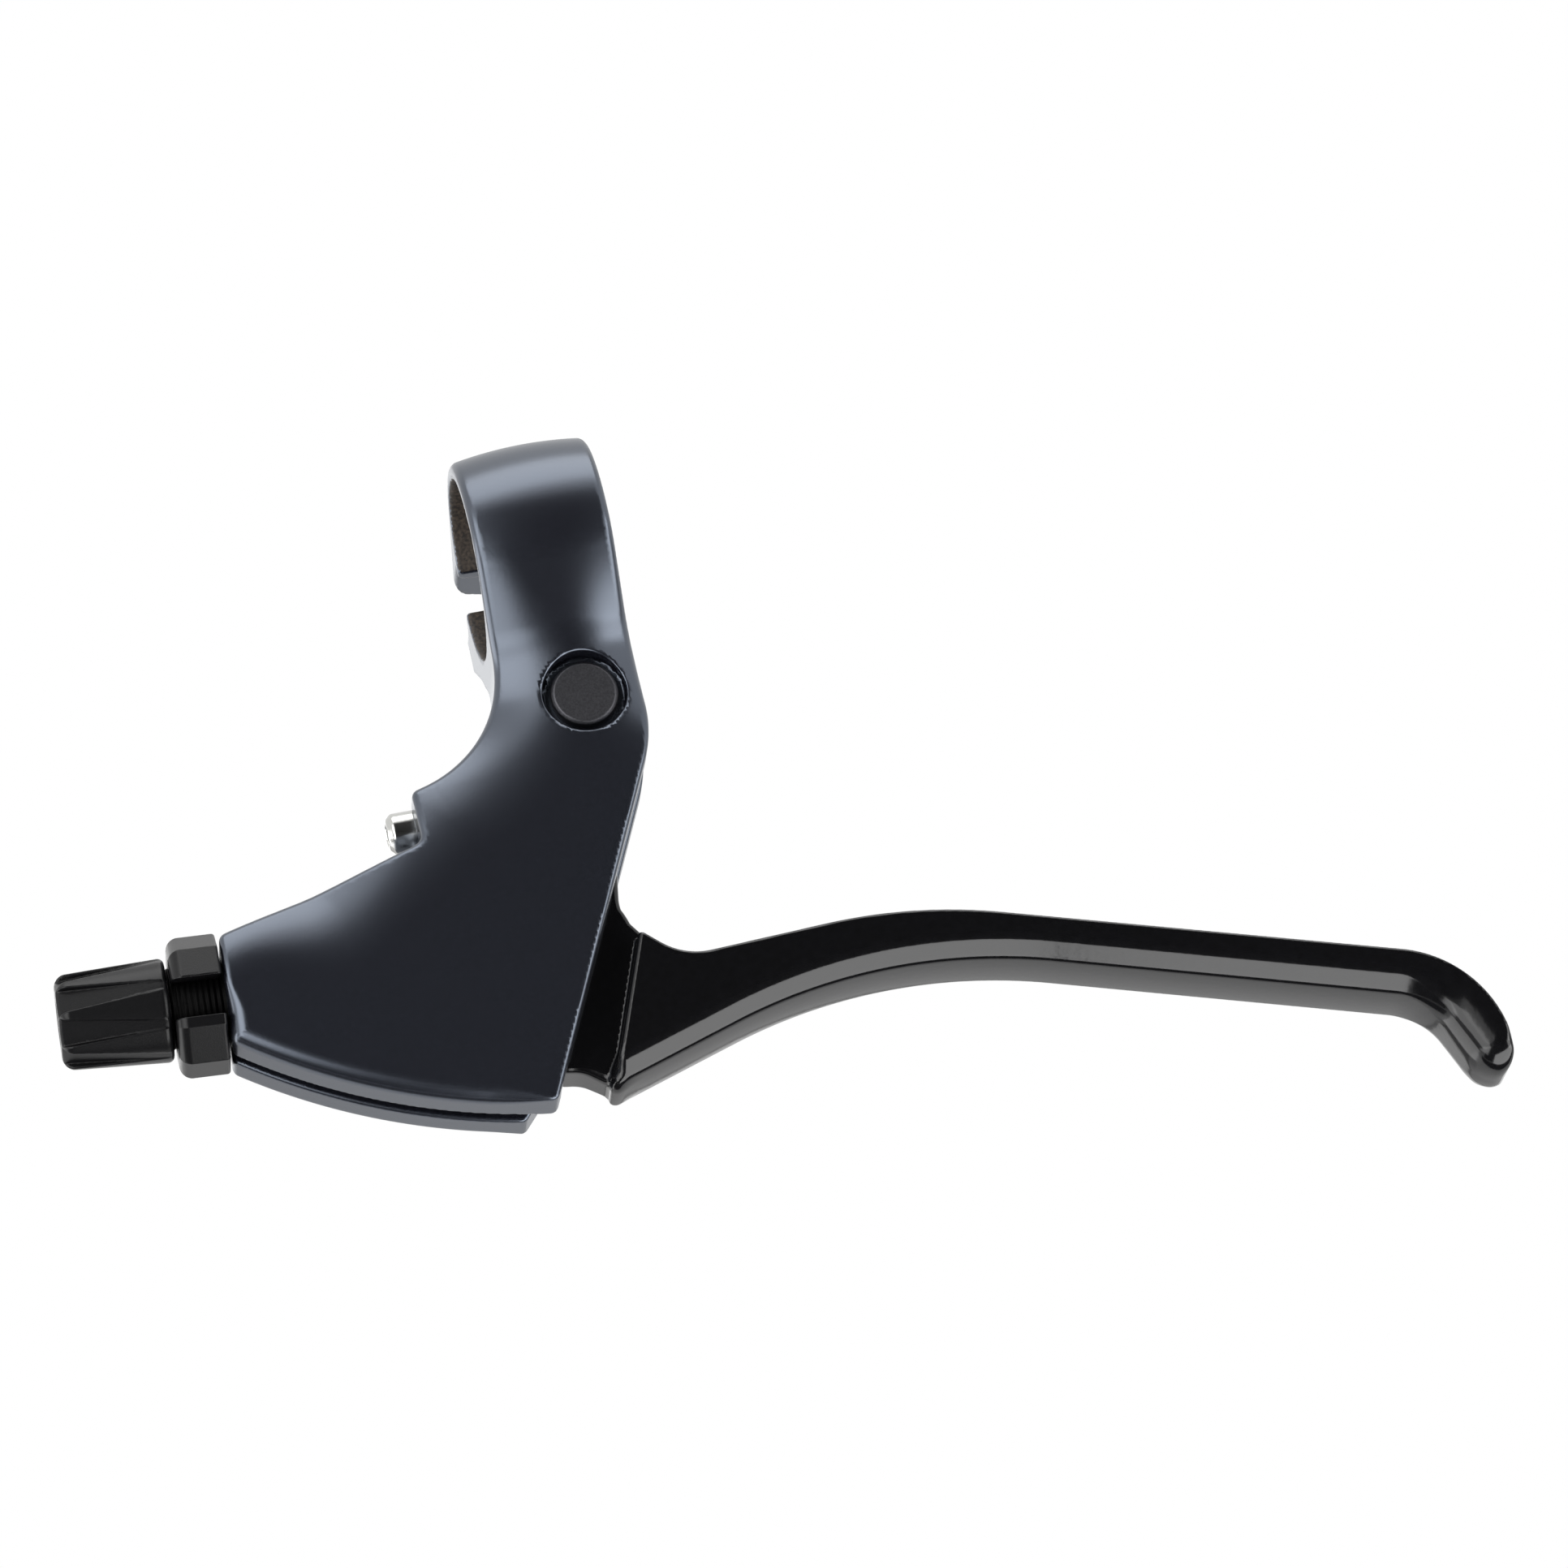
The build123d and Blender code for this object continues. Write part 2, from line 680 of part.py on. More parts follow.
# Lock ring: a ten-sided nut on the adjuster's stem, slotted for the cable
with BuildPart() as lock_ring:
    with BuildSketch(cable_plane.offset(ring_gap)):
        RegularPolygon(ring_diameter / 2, ring_sides)
    extrude(amount=ring_height)
    end_face = lock_ring.faces().sort_by(cable_axis)[-1]
    chamfer(end_face.edges(), ring_chamfer)
    with BuildSketch(cable_plane.offset(ring_gap)):
        Circle(stem_diameter / 2 + stem_fit)
        with Locations(slot_middle):
            Rectangle(ring_diameter, ring_slot_width, rotation=180 - ring_slot_angle)
    extrude(amount=ring_height, mode=Mode.SUBTRACT)

lock_ring.part.label = "lock_ring"
export_step(lock_ring.part, "parts/lock_ring.step")
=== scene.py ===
"""Looks of a flat-bar bicycle brake lever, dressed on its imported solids.

Shapes are worked out in millimetres, as on a drawing, and skin() turns them into metres in the
solids' own frame.
"""
import json
from math import atan2, cos, hypot, pi, radians, sin, sqrt, tan

import bpy
import numpy as np
from mathutils import Matrix, Vector


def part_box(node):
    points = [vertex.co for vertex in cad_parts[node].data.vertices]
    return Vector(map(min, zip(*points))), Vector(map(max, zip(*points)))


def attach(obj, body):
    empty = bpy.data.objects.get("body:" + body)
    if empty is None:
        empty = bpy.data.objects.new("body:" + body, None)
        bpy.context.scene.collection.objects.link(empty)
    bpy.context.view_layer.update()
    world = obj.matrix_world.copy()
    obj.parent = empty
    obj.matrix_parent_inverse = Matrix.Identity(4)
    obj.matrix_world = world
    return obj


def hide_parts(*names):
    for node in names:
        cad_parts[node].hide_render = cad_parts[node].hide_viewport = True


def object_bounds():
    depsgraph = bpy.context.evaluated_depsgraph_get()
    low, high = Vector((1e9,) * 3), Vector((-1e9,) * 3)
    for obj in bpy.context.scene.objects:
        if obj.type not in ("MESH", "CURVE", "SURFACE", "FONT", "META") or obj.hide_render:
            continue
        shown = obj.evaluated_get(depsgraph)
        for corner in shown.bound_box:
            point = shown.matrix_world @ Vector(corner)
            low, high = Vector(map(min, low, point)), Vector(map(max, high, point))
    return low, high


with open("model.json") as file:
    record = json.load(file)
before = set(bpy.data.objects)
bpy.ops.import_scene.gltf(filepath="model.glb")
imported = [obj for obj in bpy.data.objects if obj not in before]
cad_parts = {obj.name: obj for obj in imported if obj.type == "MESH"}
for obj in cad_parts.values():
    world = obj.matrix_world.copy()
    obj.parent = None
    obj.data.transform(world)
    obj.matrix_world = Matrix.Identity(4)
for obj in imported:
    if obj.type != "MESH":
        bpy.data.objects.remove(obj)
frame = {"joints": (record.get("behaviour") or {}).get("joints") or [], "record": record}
cad_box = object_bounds()

# Bracket: the one-piece body that holds everything to the handlebar, die-cast in aluminium and
# painted. A split clamp ring on top, a tapered neck with the pivot, and a hollow foot that is open
# below for the cable. The clamp bolt closes the ring on the bar.
joints = {joint["name"]: joint for joint in frame["joints"]}
mounts = {mount["name"]: mount for mount in frame["record"]["mounts"]}


def millimetres(place):
    """A place of the frame, in millimetres."""
    return [1000 * value for value in place]


def solid_box(node):
    """Lowest and highest corner of a piece's solid, in millimetres."""
    return [millimetres(corner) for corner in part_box(node)]


def outline(corners):
    """Field of a flat outline, negative inside: straight lines joined by tangent arcs.

    Each corner is (across, up, radius), in anticlockwise order.
    """
    points = np.array([corner[:2] for corner in corners], float)
    radii = [corner[2] for corner in corners]
    ahead = np.roll(points, -1, axis=0) - points
    lengths = np.hypot(*ahead.T)
    ahead /= lengths[:, None]
    behind = np.roll(ahead, 1, axis=0)
    turns = np.arctan2(
        behind[:, 0] * ahead[:, 1] - behind[:, 1] * ahead[:, 0], (behind * ahead).sum(axis=1)
    )
    cuts = radii * np.tan(np.abs(turns) / 2)
    starts = points + ahead * cuts[:, None]
    runs = lengths - cuts - np.roll(cuts, -1)
    inward = np.stack([-behind[:, 1], behind[:, 0]], axis=1) * np.sign(turns)[:, None]
    centres = points - behind * cuts[:, None] + inward * np.array(radii)[:, None]

    def field(across, up):
        nearest = np.full(np.broadcast(across, up).shape, np.inf)
        side = np.zeros(nearest.shape)
        for i, radius in enumerate(radii):
            right, above = across - starts[i, 0], up - starts[i, 1]
            along = np.clip(right * ahead[i, 0] + above * ahead[i, 1], 0, runs[i])
            gap = np.hypot(right - along * ahead[i, 0], above - along * ahead[i, 1])
            closer = gap < nearest
            nearest = np.where(closer, gap, nearest)
            side = np.where(closer, ahead[i, 0] * above - ahead[i, 1] * right, side)
            right, above = across - centres[i, 0], up - centres[i, 1]
            reach = np.hypot(right, above)
            middle = (points[i] - centres[i]) / np.hypot(*(points[i] - centres[i]))
            within = right * middle[0] + above * middle[1] >= reach * cos(turns[i] / 2)
            gap = np.where(within, np.abs(reach - radius), np.inf)
            closer = gap < nearest
            nearest = np.where(closer, gap, nearest)
            side = np.where(closer, np.sign(turns[i]) * (radius - reach), side)
        return np.where(side > 0, -nearest, nearest)

    return field


def meet(one, other, radius):
    """Field of what two fields share, with the edge between them rounded."""
    one, other = one + radius, other + radius
    both = np.hypot(np.maximum(one, 0), np.maximum(other, 0))
    return np.minimum(np.maximum(one, other), 0) + both - radius


def cut(body, hole, radius):
    """Field of a body with a hole cut out of it, the hole's rim rounded."""
    return meet(body, -hole, radius)


def join(one, other, radius):
    """Field of two fields together, with a fillet in the corner between them."""
    return -meet(-one, -other, radius)


def ease(value, start, end):
    """Rises smoothly from 0 at start to 1 at end."""
    share = np.clip((value - start) / (end - start), 0, 1)
    return share * share * (3 - 2 * share)


def skin(name, field, low, high, pitch):
    """New piece: the surface where the field is nought, in faces of about the pitch, all in mm.

    Every grid edge that the surface crosses gives a face between the four cells around it. A
    cell's point is put where the surface's planes at its crossed edges meet, so that edges stay
    crisp, and then drawn onto the surface.
    """
    probe, normal_probe = 0.05 * pitch, 0.35 * pitch
    steadying, furthest_shift = 0.05, 0.6 * pitch
    draw_rounds, flattest, furthest_draw = 3, 0.2, pitch / 2
    axes = [np.arange(a - 2 * pitch, b + 3 * pitch, pitch) for a, b in zip(low, high)]
    value = field(*np.meshgrid(*axes, indexing="ij", sparse=True))
    crossings, faces = [], []
    for axis in range(3):
        order = [axis, (axis + 1) % 3, (axis + 2) % 3]
        level = value.transpose(order)
        first, last = level[:-1, 1:-1, 1:-1], level[1:, 1:-1, 1:-1]
        i, j, k = np.nonzero((first < 0) != (last < 0))
        first, last = first[i, j, k], last[i, j, k]
        crossing = np.empty((len(i), 3))
        crossing[:, order] = np.stack([i + first / (first - last), j + 1, k + 1], axis=1)
        crossings.append(crossing)
        around = np.empty((len(i), 4), int)
        for corner, (right, above) in enumerate(((0, 0), (1, 0), (1, 1), (0, 1))):
            cell = np.empty((len(i), 3), int)
            cell[:, order] = np.stack([i, j + right, k + above], axis=1)
            around[:, corner] = np.ravel_multi_index(cell.T, value.shape)
        faces.append(np.where(first[:, None] < 0, around, around[:, ::-1]))
    cells, faces = np.unique(np.concatenate(faces), return_inverse=True)
    faces = faces.reshape(-1, 4)
    crossings = np.array([axis[0] for axis in axes]) + pitch * np.concatenate(crossings)

    def slope(points, reach):
        return np.stack(
            [
                (field(*(points + reach * step).T) - field(*(points - reach * step).T))
                / (2 * reach)
                for step in np.eye(3)
            ],
            axis=1,
        )

    def per_cell(values):
        total = np.zeros((len(cells), *values.shape[1:]))
        for corner in faces.T:
            np.add.at(total, corner, values)
        return total

    rise = slope(crossings, probe)
    rise /= np.maximum(np.linalg.norm(rise, axis=1), 1e-6)[:, None]
    middles = per_cell(crossings) / np.bincount(faces.ravel())[:, None]
    planes = per_cell(rise[:, :, None] * rise[:, None, :])
    pull = per_cell(rise * (rise * crossings).sum(axis=1)[:, None])
    pull = pull - (planes @ middles[:, :, None])[:, :, 0]
    shift = np.linalg.solve(planes + steadying * np.eye(3), pull[:, :, None])[:, :, 0]
    points = middles + np.clip(shift, -furthest_shift, furthest_shift)
    for _ in range(draw_rounds):
        rise = slope(points, probe)
        drop = field(*points.T) / np.maximum((rise**2).sum(axis=1), flattest)
        points = points - np.clip(drop, -furthest_draw, furthest_draw)[:, None] * rise
    normals = slope(points, normal_probe)
    normals /= np.linalg.norm(normals, axis=1)[:, None]

    mesh = bpy.data.meshes.new(name)
    mesh.from_pydata((points / 1000).tolist(), [], faces.tolist())
    mesh.shade_smooth()
    mesh.normals_split_custom_set_from_vertices(normals.tolist())
    piece = bpy.data.objects.new(name, mesh)
    bpy.context.scene.collection.objects.link(piece)
    return piece


bar_radius = mounts["handlebar_clamp"]["dims"]["r_mm"]
half_clamp = mounts["handlebar_clamp"]["dims"]["length_mm"] / 2
bracket_low, bracket_high = solid_box("bracket")
clamp_radius, ear_end, heel_z = bracket_high[2], bracket_high[1], bracket_low[2]
pivot_x, _, pivot_z = millimetres(joints["lever_pivot"]["pos_m"])
nose_x, _, nose_z = millimetres(joints["adjuster_turn"]["pos_m"])
cable_out = joints["adjuster_turn"]["axis"]
screw_x, _, screw_z = millimetres(joints["reach_screw_turn"]["pos_m"])

# Seen from the side: clamp, neck, boss of the reach screw, nose, foot, heel and leaning right edge
past_top = 2 * clamp_radius
shoulder_z = -27.8
heel_x = -12.1
nose_top, nose_foot = (-47.4, -43.0), (-48.2, -56.5)
nose_rise = tan(radians(14.5))
boss_x, boss_top_z = screw_x, -29.3
boss_foot_z = nose_top[1] + (boss_x - nose_top[0]) * nose_rise
neck_corner = (-half_clamp, boss_top_z + (-half_clamp - boss_x) * nose_rise, 15.5)
side_view = outline([
    (half_clamp, past_top, 1.0),
    (-half_clamp, past_top, 1.0),
    neck_corner,
    (boss_x, boss_top_z, 1.0),
    (boss_x, boss_foot_z, 1.6),
    (*nose_top, 1.2),
    (*nose_foot, 1.2),
    (-32.0, -67.9, 80.0),
    (heel_x, heel_z, 1.0),
    (half_clamp, shoulder_z, 18.0),
])

# Seen along the bar: the ring, the slopes below it and the tapered sides, then the two clamp ears
pivot_half, heel_half = 8.6, 6.8
wall_taper = (pivot_half - heel_half) / (pivot_z - heel_z)
ring_slope = radians(24)
ring_side = (clamp_radius * cos(ring_slope), -clamp_radius * sin(ring_slope))
side_run = (ring_side[0] - pivot_half - (ring_side[1] - pivot_z) * wall_taper) / (
    sin(ring_slope) - wall_taper * cos(ring_slope)
)
waist = (ring_side[0] - side_run * sin(ring_slope), ring_side[1] - side_run * cos(ring_slope))
waist_radius = 12.0
top_reach = ring_side[0] + (clamp_radius - ring_side[1]) * tan(ring_slope)
past_foot = (pivot_half + (2 * heel_z - pivot_z) * wall_taper, 2 * heel_z)
end_view = outline([
    (top_reach, clamp_radius, clamp_radius),
    (-top_reach, clamp_radius, clamp_radius),
    (-waist[0], waist[1], waist_radius),
    (-past_foot[0], past_foot[1], 1.0),
    (past_foot[0], past_foot[1], 1.0),
    (waist[0], waist[1], waist_radius),
])
lower_jaw, upper_jaw = -1.0, 4.0
ear_root = 2.0
upper_ear = outline([
    (ear_end, upper_jaw, 0.5),
    (ear_end, 6.6, 1.0),
    (5.6, 12.83, 0.5),
    (ear_root, 8.0, 0.5),
    (ear_root, upper_jaw, 0.5),
])
lower_ear = outline([
    (ear_end, lower_jaw, 0.5),
    (ear_root, lower_jaw, 0.5),
    (ear_root, waist[1], 0.5),
    (waist[0], waist[1], 0.5),
    (ear_end, -7.0, 1.0),
])
ear_corner, ear_fillet = 3.5, 1.0

# Hollow of the foot, seen from the side, and the step at the end of its far wall
half_channel = 3.9
past_right = 20.0
channel_end, channel_foot = -34.2, -68.6
channel = outline([
    (channel_end, -40.6, 1.0),
    (channel_end, -61.9, 1.0),
    (-25.0, -66.5, 60.0),
    (heel_x, channel_foot, 0.5),
    (past_right, channel_foot, 0.5),
    (past_right, pivot_z, 0.5),
    (-6.2, pivot_z, 0.5),
    (-9.5, -38.2, 1.0),
])
step_x, step_z = heel_x - 4.0, heel_z + 9.0
far_step = outline([
    (step_x, 2 * heel_z, 0.5),
    (past_right, 2 * heel_z, 0.5),
    (past_right, step_z, 0.5),
    (-8.1, step_z, 0.5),
    (step_x, heel_z, 0.5),
])

# Holes: the stem's and the axle's, the recesses of the axle's cap and clip, the screw's and bolt's
knuckle_room = 7.6
half_cable_slot = 1.2
stem_bore, stem_bore_depth = 5.01, 14.6
cap_recess, clip_recess, recess_floor = 5.1, 6.25, 6.1
axle_radius, axle_gap = 3.0, 0.03
reach_hole = 2.55
bolt_hole_y, bolt_hole, bolt_head_hole, bolt_seat_z = 15.0, 2.65, 4.15, -6.5
bore_edge, cast_edge, drilled_edge = 0.5, 0.4, 0.3

# The sides are crowned: they fall away to the back of the neck and foot, and right of the pivot.
# The pairs are depths below the bar or distances along it, between which a form comes in.
foot_back_x = -36.0
back_line = outline([
    (3 * past_top, past_top, 1.0),
    (-half_clamp, past_top, 1.0),
    neck_corner,
    (boss_x + 1.0, boss_top_z + nose_rise, 8.0),
    (foot_back_x, nose_top[1] + (foot_back_x - nose_top[0]) * nose_rise, 8.0),
    (2 * nose_top[0], nose_top[1] + nose_top[0] * nose_rise, 1.0),
    (2 * nose_top[0], 3 * heel_z, 1.0),
    (3 * past_top, 3 * heel_z, 1.0),
])
back_fall, back_width, ring_back_share, past_back = 3.0, 11.5, 0.3, 0.2
right_fall, right_width = 2.0, 8.0
ring_crown, crown_x = 100.0, 1.5
nose_thinning, boss_thinning = 0.42, 0.2
ring_to_neck, neck_to_foot = (0.0, 21.0), (20.0, 30.0)
boss_to_neck, foot_to_nose = (-32.0, -22.0), (33.0, 46.0)
pivot_comes, pivot_goes = (1.0, 16.0), (-34.0, -17.0)
edge_lean = (half_clamp - heel_x) / (shoulder_z - heel_z)


def from_right_edge(x, z):
    """How far a place lies inside the right edge, which leans back below the shoulder."""
    return half_clamp + np.minimum(z - shoulder_z, 0) * edge_lean - x


def side_fall(x, z):
    """How far the casting's sides lie inside their flat planes."""
    below_ring = ease(-z, *ring_to_neck)
    to_nose = 1 - nose_thinning * ease(-x, *foot_to_nose)
    at_boss = 1 - boss_thinning * ease(x, *boss_to_neck) * ease(-z, *neck_to_foot)
    width = back_width * to_nose * (ring_back_share + (1 - ring_back_share) * below_ring)
    from_back = np.clip(-back_line(x, z) / width, -past_back, 1)
    from_right = np.clip(from_right_edge(x, z) / right_width, 0, 1)
    beside_pivot = ease(-z, *pivot_comes) * ease(z, *pivot_goes)
    return (
        back_fall * to_nose * at_boss * below_ring * (1 - from_back) ** 2
        + right_fall * beside_pivot * (1 - from_right) ** 2
        + (1 - below_ring) * (x - crown_x) ** 2 / ring_crown
    )


ring_edge, foot_edge, underside_gain, back_gain = 0.9, 0.5, 1.5, 0.2
foot_rise = 0.41
underside_height, heel_run = (3.0, 8.0), (0.0, 9.0)
back_x, back_run, back_depth = heel_x + 10, (0.0, 8.0), (14.0, 30.0)
right_run = (1.0, 5.0)


def edge_radius(x, z):
    """Rounding of the casting's edges: wide along the underside of the foot, small elsewhere."""
    over_foot = z - heel_z + foot_rise * np.minimum(x - heel_x, 0)
    from_right = from_right_edge(x, z)
    underside = (1 - ease(over_foot, *underside_height)) * ease(from_right, *heel_run)
    behind = ease(-z, *back_depth) * ease(back_x - x, *back_run)
    right = ease(from_right, *right_run) * ease(-z, *neck_to_foot)
    rim = ring_edge + (foot_edge - ring_edge) * ease(-z, *neck_to_foot)
    return rim + underside_gain * underside + back_gain * behind * (1 - underside) * right


def along_cable(x, z):
    """Distances from the nose along the cable's line outwards, and square to it upwards."""
    out = (x - nose_x) * cable_out[0] + (z - nose_z) * cable_out[2]
    over = (z - nose_z) * -cable_out[0] + (x - nose_x) * cable_out[2]
    return out, over


def bracket_field(x, y, z):
    around = join(np.minimum(end_view(y, z), upper_ear(y, z)), lower_ear(y, z), ear_fillet)
    body = meet(side_view(x, z), around + side_fall(x, z), edge_radius(x, z))
    ear_plan = np.hypot(
        np.maximum(np.abs(x) - half_clamp + ear_corner, 0),
        np.maximum(y - ear_end + ear_corner, 0),
    )
    body = np.where(y > bar_radius, np.maximum(body, ear_plan - ear_corner), body)
    from_jaws = np.abs(z - (lower_jaw + upper_jaw) / 2) - (upper_jaw - lower_jaw) / 2
    body = cut(body, np.hypot(y, z) - bar_radius, bore_edge)
    body = cut(body, np.maximum(from_jaws, -y), cast_edge)
    from_pivot = np.hypot(x - pivot_x, z - pivot_z)
    hollow = np.minimum(channel(x, z), from_pivot - knuckle_room)
    body = cut(body, np.maximum(hollow, np.abs(y) - half_channel), cast_edge)
    out, over = along_cable(x, z)
    body = cut(body, np.maximum(np.abs(y) - half_cable_slot, over), cast_edge)
    body = cut(body, np.maximum(far_step(x, z), -y), cast_edge)
    stem_hole = np.maximum(np.hypot(y, over) - stem_bore, -stem_bore_depth - out)
    body = cut(body, stem_hole, cast_edge)
    body = cut(body, np.maximum(from_pivot - cap_recess, y + recess_floor), drilled_edge)
    body = cut(body, np.maximum(from_pivot - clip_recess, recess_floor - y), cast_edge)
    body = cut(body, from_pivot - axle_radius - axle_gap, drilled_edge)
    screw_hole = np.maximum(np.hypot(y, z - screw_z) - reach_hole, x - pivot_x)
    body = cut(body, screw_hole, drilled_edge)
    from_bolt = np.hypot(x, y - bolt_hole_y)
    body = cut(body, from_bolt - bolt_hole, drilled_edge)
    return cut(body, np.maximum(from_bolt - bolt_head_hole, z - bolt_seat_z), drilled_edge)


bracket = skin("bracket_casting", bracket_field, bracket_low, bracket_high, pitch=0.4)
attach(bracket, "bracket_body")
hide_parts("bracket")


def linear(code):
    """An sRGB hex colour as linear red, green, blue and alpha."""
    parts = [int(code[n : n + 2], 16) / 255 for n in (1, 3, 5)]
    return [
        part / 12.92 if part <= 0.04045 else ((part + 0.055) / 1.055) ** 2.4 for part in parts
    ] + [1.0]


def add(tree, kind, inputs, **settings):
    """Adds a node with its settings, and gives its inputs their values or links."""
    made = tree.nodes.new(kind)
    for name, value in settings.items():
        setattr(made, name, value)
    for name, value in inputs.items():
        if isinstance(value, bpy.types.NodeSocket):
            tree.links.new(value, made.inputs[name])
        else:
            made.inputs[name].default_value = value
    return made


def new_finish(name):
    """An empty material with its node tree, and places on the piece, in metres, for patterns."""
    finish = bpy.data.materials.new(name)
    finish.use_nodes = True
    tree = finish.node_tree
    tree.nodes.clear()
    return finish, tree, add(tree, "ShaderNodeTexCoord", {}).outputs["Object"]


# Satin anthracite paint: a dark sprayed lacquer with metal flakes, so broad soft highlights and a
# slight sparkle. Real flakes are some 0.03 mm wide, and are drawn coarser here so that they show.
# The orange peel of the sprayed coat is at its real size. Scales are in patches to the metre.
paint, tree, place = new_finish("satin_anthracite_paint")
flake_mm, peel_mm, peel_height_mm = 0.16, 0.5, 0.04
flakes = add(
    tree, "ShaderNodeTexNoise", {"Vector": place, "Scale": 1000 / flake_mm, "Detail": 2.0}
)
sparkle = add(tree, "ShaderNodeValToRGB", {"Fac": flakes.outputs["Fac"]})
for stop, share, shade in zip(
    sparkle.color_ramp.elements, (0.35, 0.75), ("#040408", "#18181f")
):
    stop.position, stop.color = share, linear(shade)
peel = add(tree, "ShaderNodeTexNoise", {"Vector": place, "Scale": 1000 / peel_mm, "Detail": 3.0})
relief = add(
    tree,
    "ShaderNodeBump",
    {"Height": peel.outputs["Fac"], "Strength": 0.12, "Distance": peel_height_mm / 1000},
)
surface = add(
    tree,
    "ShaderNodeBsdfPrincipled",
    {
        "Base Color": sparkle.outputs["Color"],
        "Roughness": 0.27,
        "IOR": 1.7,
        "Specular IOR Level": 1.0,
        "Specular Tint": linear("#dbe7fa"),
        "Normal": relief.outputs["Normal"],
    },
)
add(tree, "ShaderNodeOutputMaterial", {"Surface": surface.outputs["BSDF"]})
bracket.data.materials.append(paint)

# Bare cast aluminium in the clamp's bore: left unpainted and dulled, so dark and brownish, with
# the coarse grain of the blasted casting at its real size
bare, tree, place = new_finish("bare_cast_aluminium")
grain_mm, grain_height_mm = 0.4, 0.1
grain = add(tree, "ShaderNodeTexNoise", {"Vector": place, "Scale": 1000 / grain_mm, "Detail": 3.0})
relief = add(
    tree,
    "ShaderNodeBump",
    {"Height": grain.outputs["Fac"], "Strength": 0.5, "Distance": grain_height_mm / 1000},
)
tint = add(tree, "ShaderNodeValToRGB", {"Fac": grain.outputs["Fac"]})
for stop, share, shade in zip(tint.color_ramp.elements, (0.35, 0.7), ("#1c1815", "#4a4037")):
    stop.position, stop.color = share, linear(shade)
surface = add(
    tree,
    "ShaderNodeBsdfPrincipled",
    {"Base Color": tint.outputs["Color"], "Roughness": 0.6, "Normal": relief.outputs["Normal"]},
)
add(tree, "ShaderNodeOutputMaterial", {"Surface": surface.outputs["BSDF"]})
bracket.data.materials.append(bare)
bare_depth = 0.15
for face in bracket.data.polygons:
    if hypot(face.center.y, face.center.z) * 1000 < bar_radius + bare_depth:
        face.material_index = 1

# Lever blade: one aluminium forging, painted gloss black, with a flat tongue inside the bracket's
# channel and a rounded, gently waved blade that hooks down at its tip. It swings on the pivot axle
# and pulls the cable by a nipple in its tongue.
blade_low, blade_high = solid_box("lever_blade")
half_blade = blade_high[1]
corner_past_tip = 0.3
tip_x, tip_z = blade_high[0] + corner_past_tip, blade_low[2]
nipple_x, _, nipple_z = millimetres(mounts["cable_nipple_seat"]["pos_m"])
nipple_radius = mounts["cable_nipple_seat"]["dims"]["r_mm"]
root_back, root_front = (1.7, -51.7), (-5.2, -70.3)
bend, knee = (30.7, -58.9), (93.2, -77.6)
top_bend = (6.4, -56.0)
tip_thick = 4.4
front_rise = (bend[1] - root_front[1]) / (bend[0] - root_front[0])
back_rise = (top_bend[1] - root_back[1]) / (top_bend[0] - root_back[0])
hook_lean = (tip_x - tip_thick - knee[0]) / (tip_z - knee[1])
root_lean = atan2(root_back[0] - root_front[0], root_back[1] - root_front[1])
past_root = (3.0, 6.7)
past_front = 12.0
back_view = outline([
    (root_back[0] - past_root[0], root_back[1] - past_root[0] * back_rise, 0.5),
    (root_front[0] - past_root[1], tip_z - past_front, 0.5),
    (knee[0] - past_front, tip_z - past_front, 0.5),
    (knee[0] - past_front, tip_z, 0.5),
    (tip_x, tip_z, 2.5),
    (tip_x - 1.5, tip_z + 14.1, 14.5),
    (34.6, -54.7, 64.0),
    (*top_bend, 8.0),
])
front_line = outline([
    (-2 * tip_x, root_front[1] - (root_front[0] + 2 * tip_x) * front_rise, 1.0),
    (*bend, 66.0),
    (*knee, 8.0),
    (knee[0] + (3 * tip_z - knee[1]) * hook_lean, 3 * tip_z, 1.0),
    (3 * tip_x, 3 * tip_z, 1.0),
    (3 * tip_x, tip_x, 1.0),
    (-2 * tip_x, tip_x, 1.0),
])
front_bevel, bevel_angle, front_crown = 2.75, radians(40), 30.0
tip_round, past_tip = 5.6, 2.2
blade_end_view = outline([
    (half_blade, 0.0, 1.0),
    (-half_blade, 0.0, 1.0),
    (-half_blade, tip_z - past_tip, tip_round),
    (half_blade, tip_z - past_tip, tip_round),
])

# Tongue, seen from the side, with the knuckle of the pivot and the lobe around the cable's nipple
half_tongue, knuckle_radius, lobe_radius = 3.2, 6.8, 9.5
tongue_view = outline([
    (pivot_x - knuckle_radius, pivot_z, 0.5),
    (pivot_x - knuckle_radius, screw_z - 2.5, 0.5),
    (nipple_x - lobe_radius, nipple_z, 0.5),
    (root_front[0] - 5.5, root_front[1] + 3.7, 1.5),
    (root_front[0] - 3.0, root_front[1] + 3.3, 4.0),
    (root_front[0] + 0.6, root_front[1] + 0.6, 0.5),
    (root_front[0] + 4.0, root_front[1] + 3.5, 0.5),
    (root_back[0] + 2.6, root_back[1] - 2.4, 0.5),
    (root_back[0] - 1.45, root_back[1] + 3.4, 5.0),
    (1.4, root_back[1] + 10.7, 2.0),
    (5.8, screw_z, 2.0),
    (pivot_x + knuckle_radius, pivot_z, 0.5),
])
bush_outer = 4.03
nipple_floor, half_slot, slot_lean, slot_edge = -2.0, 1.1, 0.5, 0.2

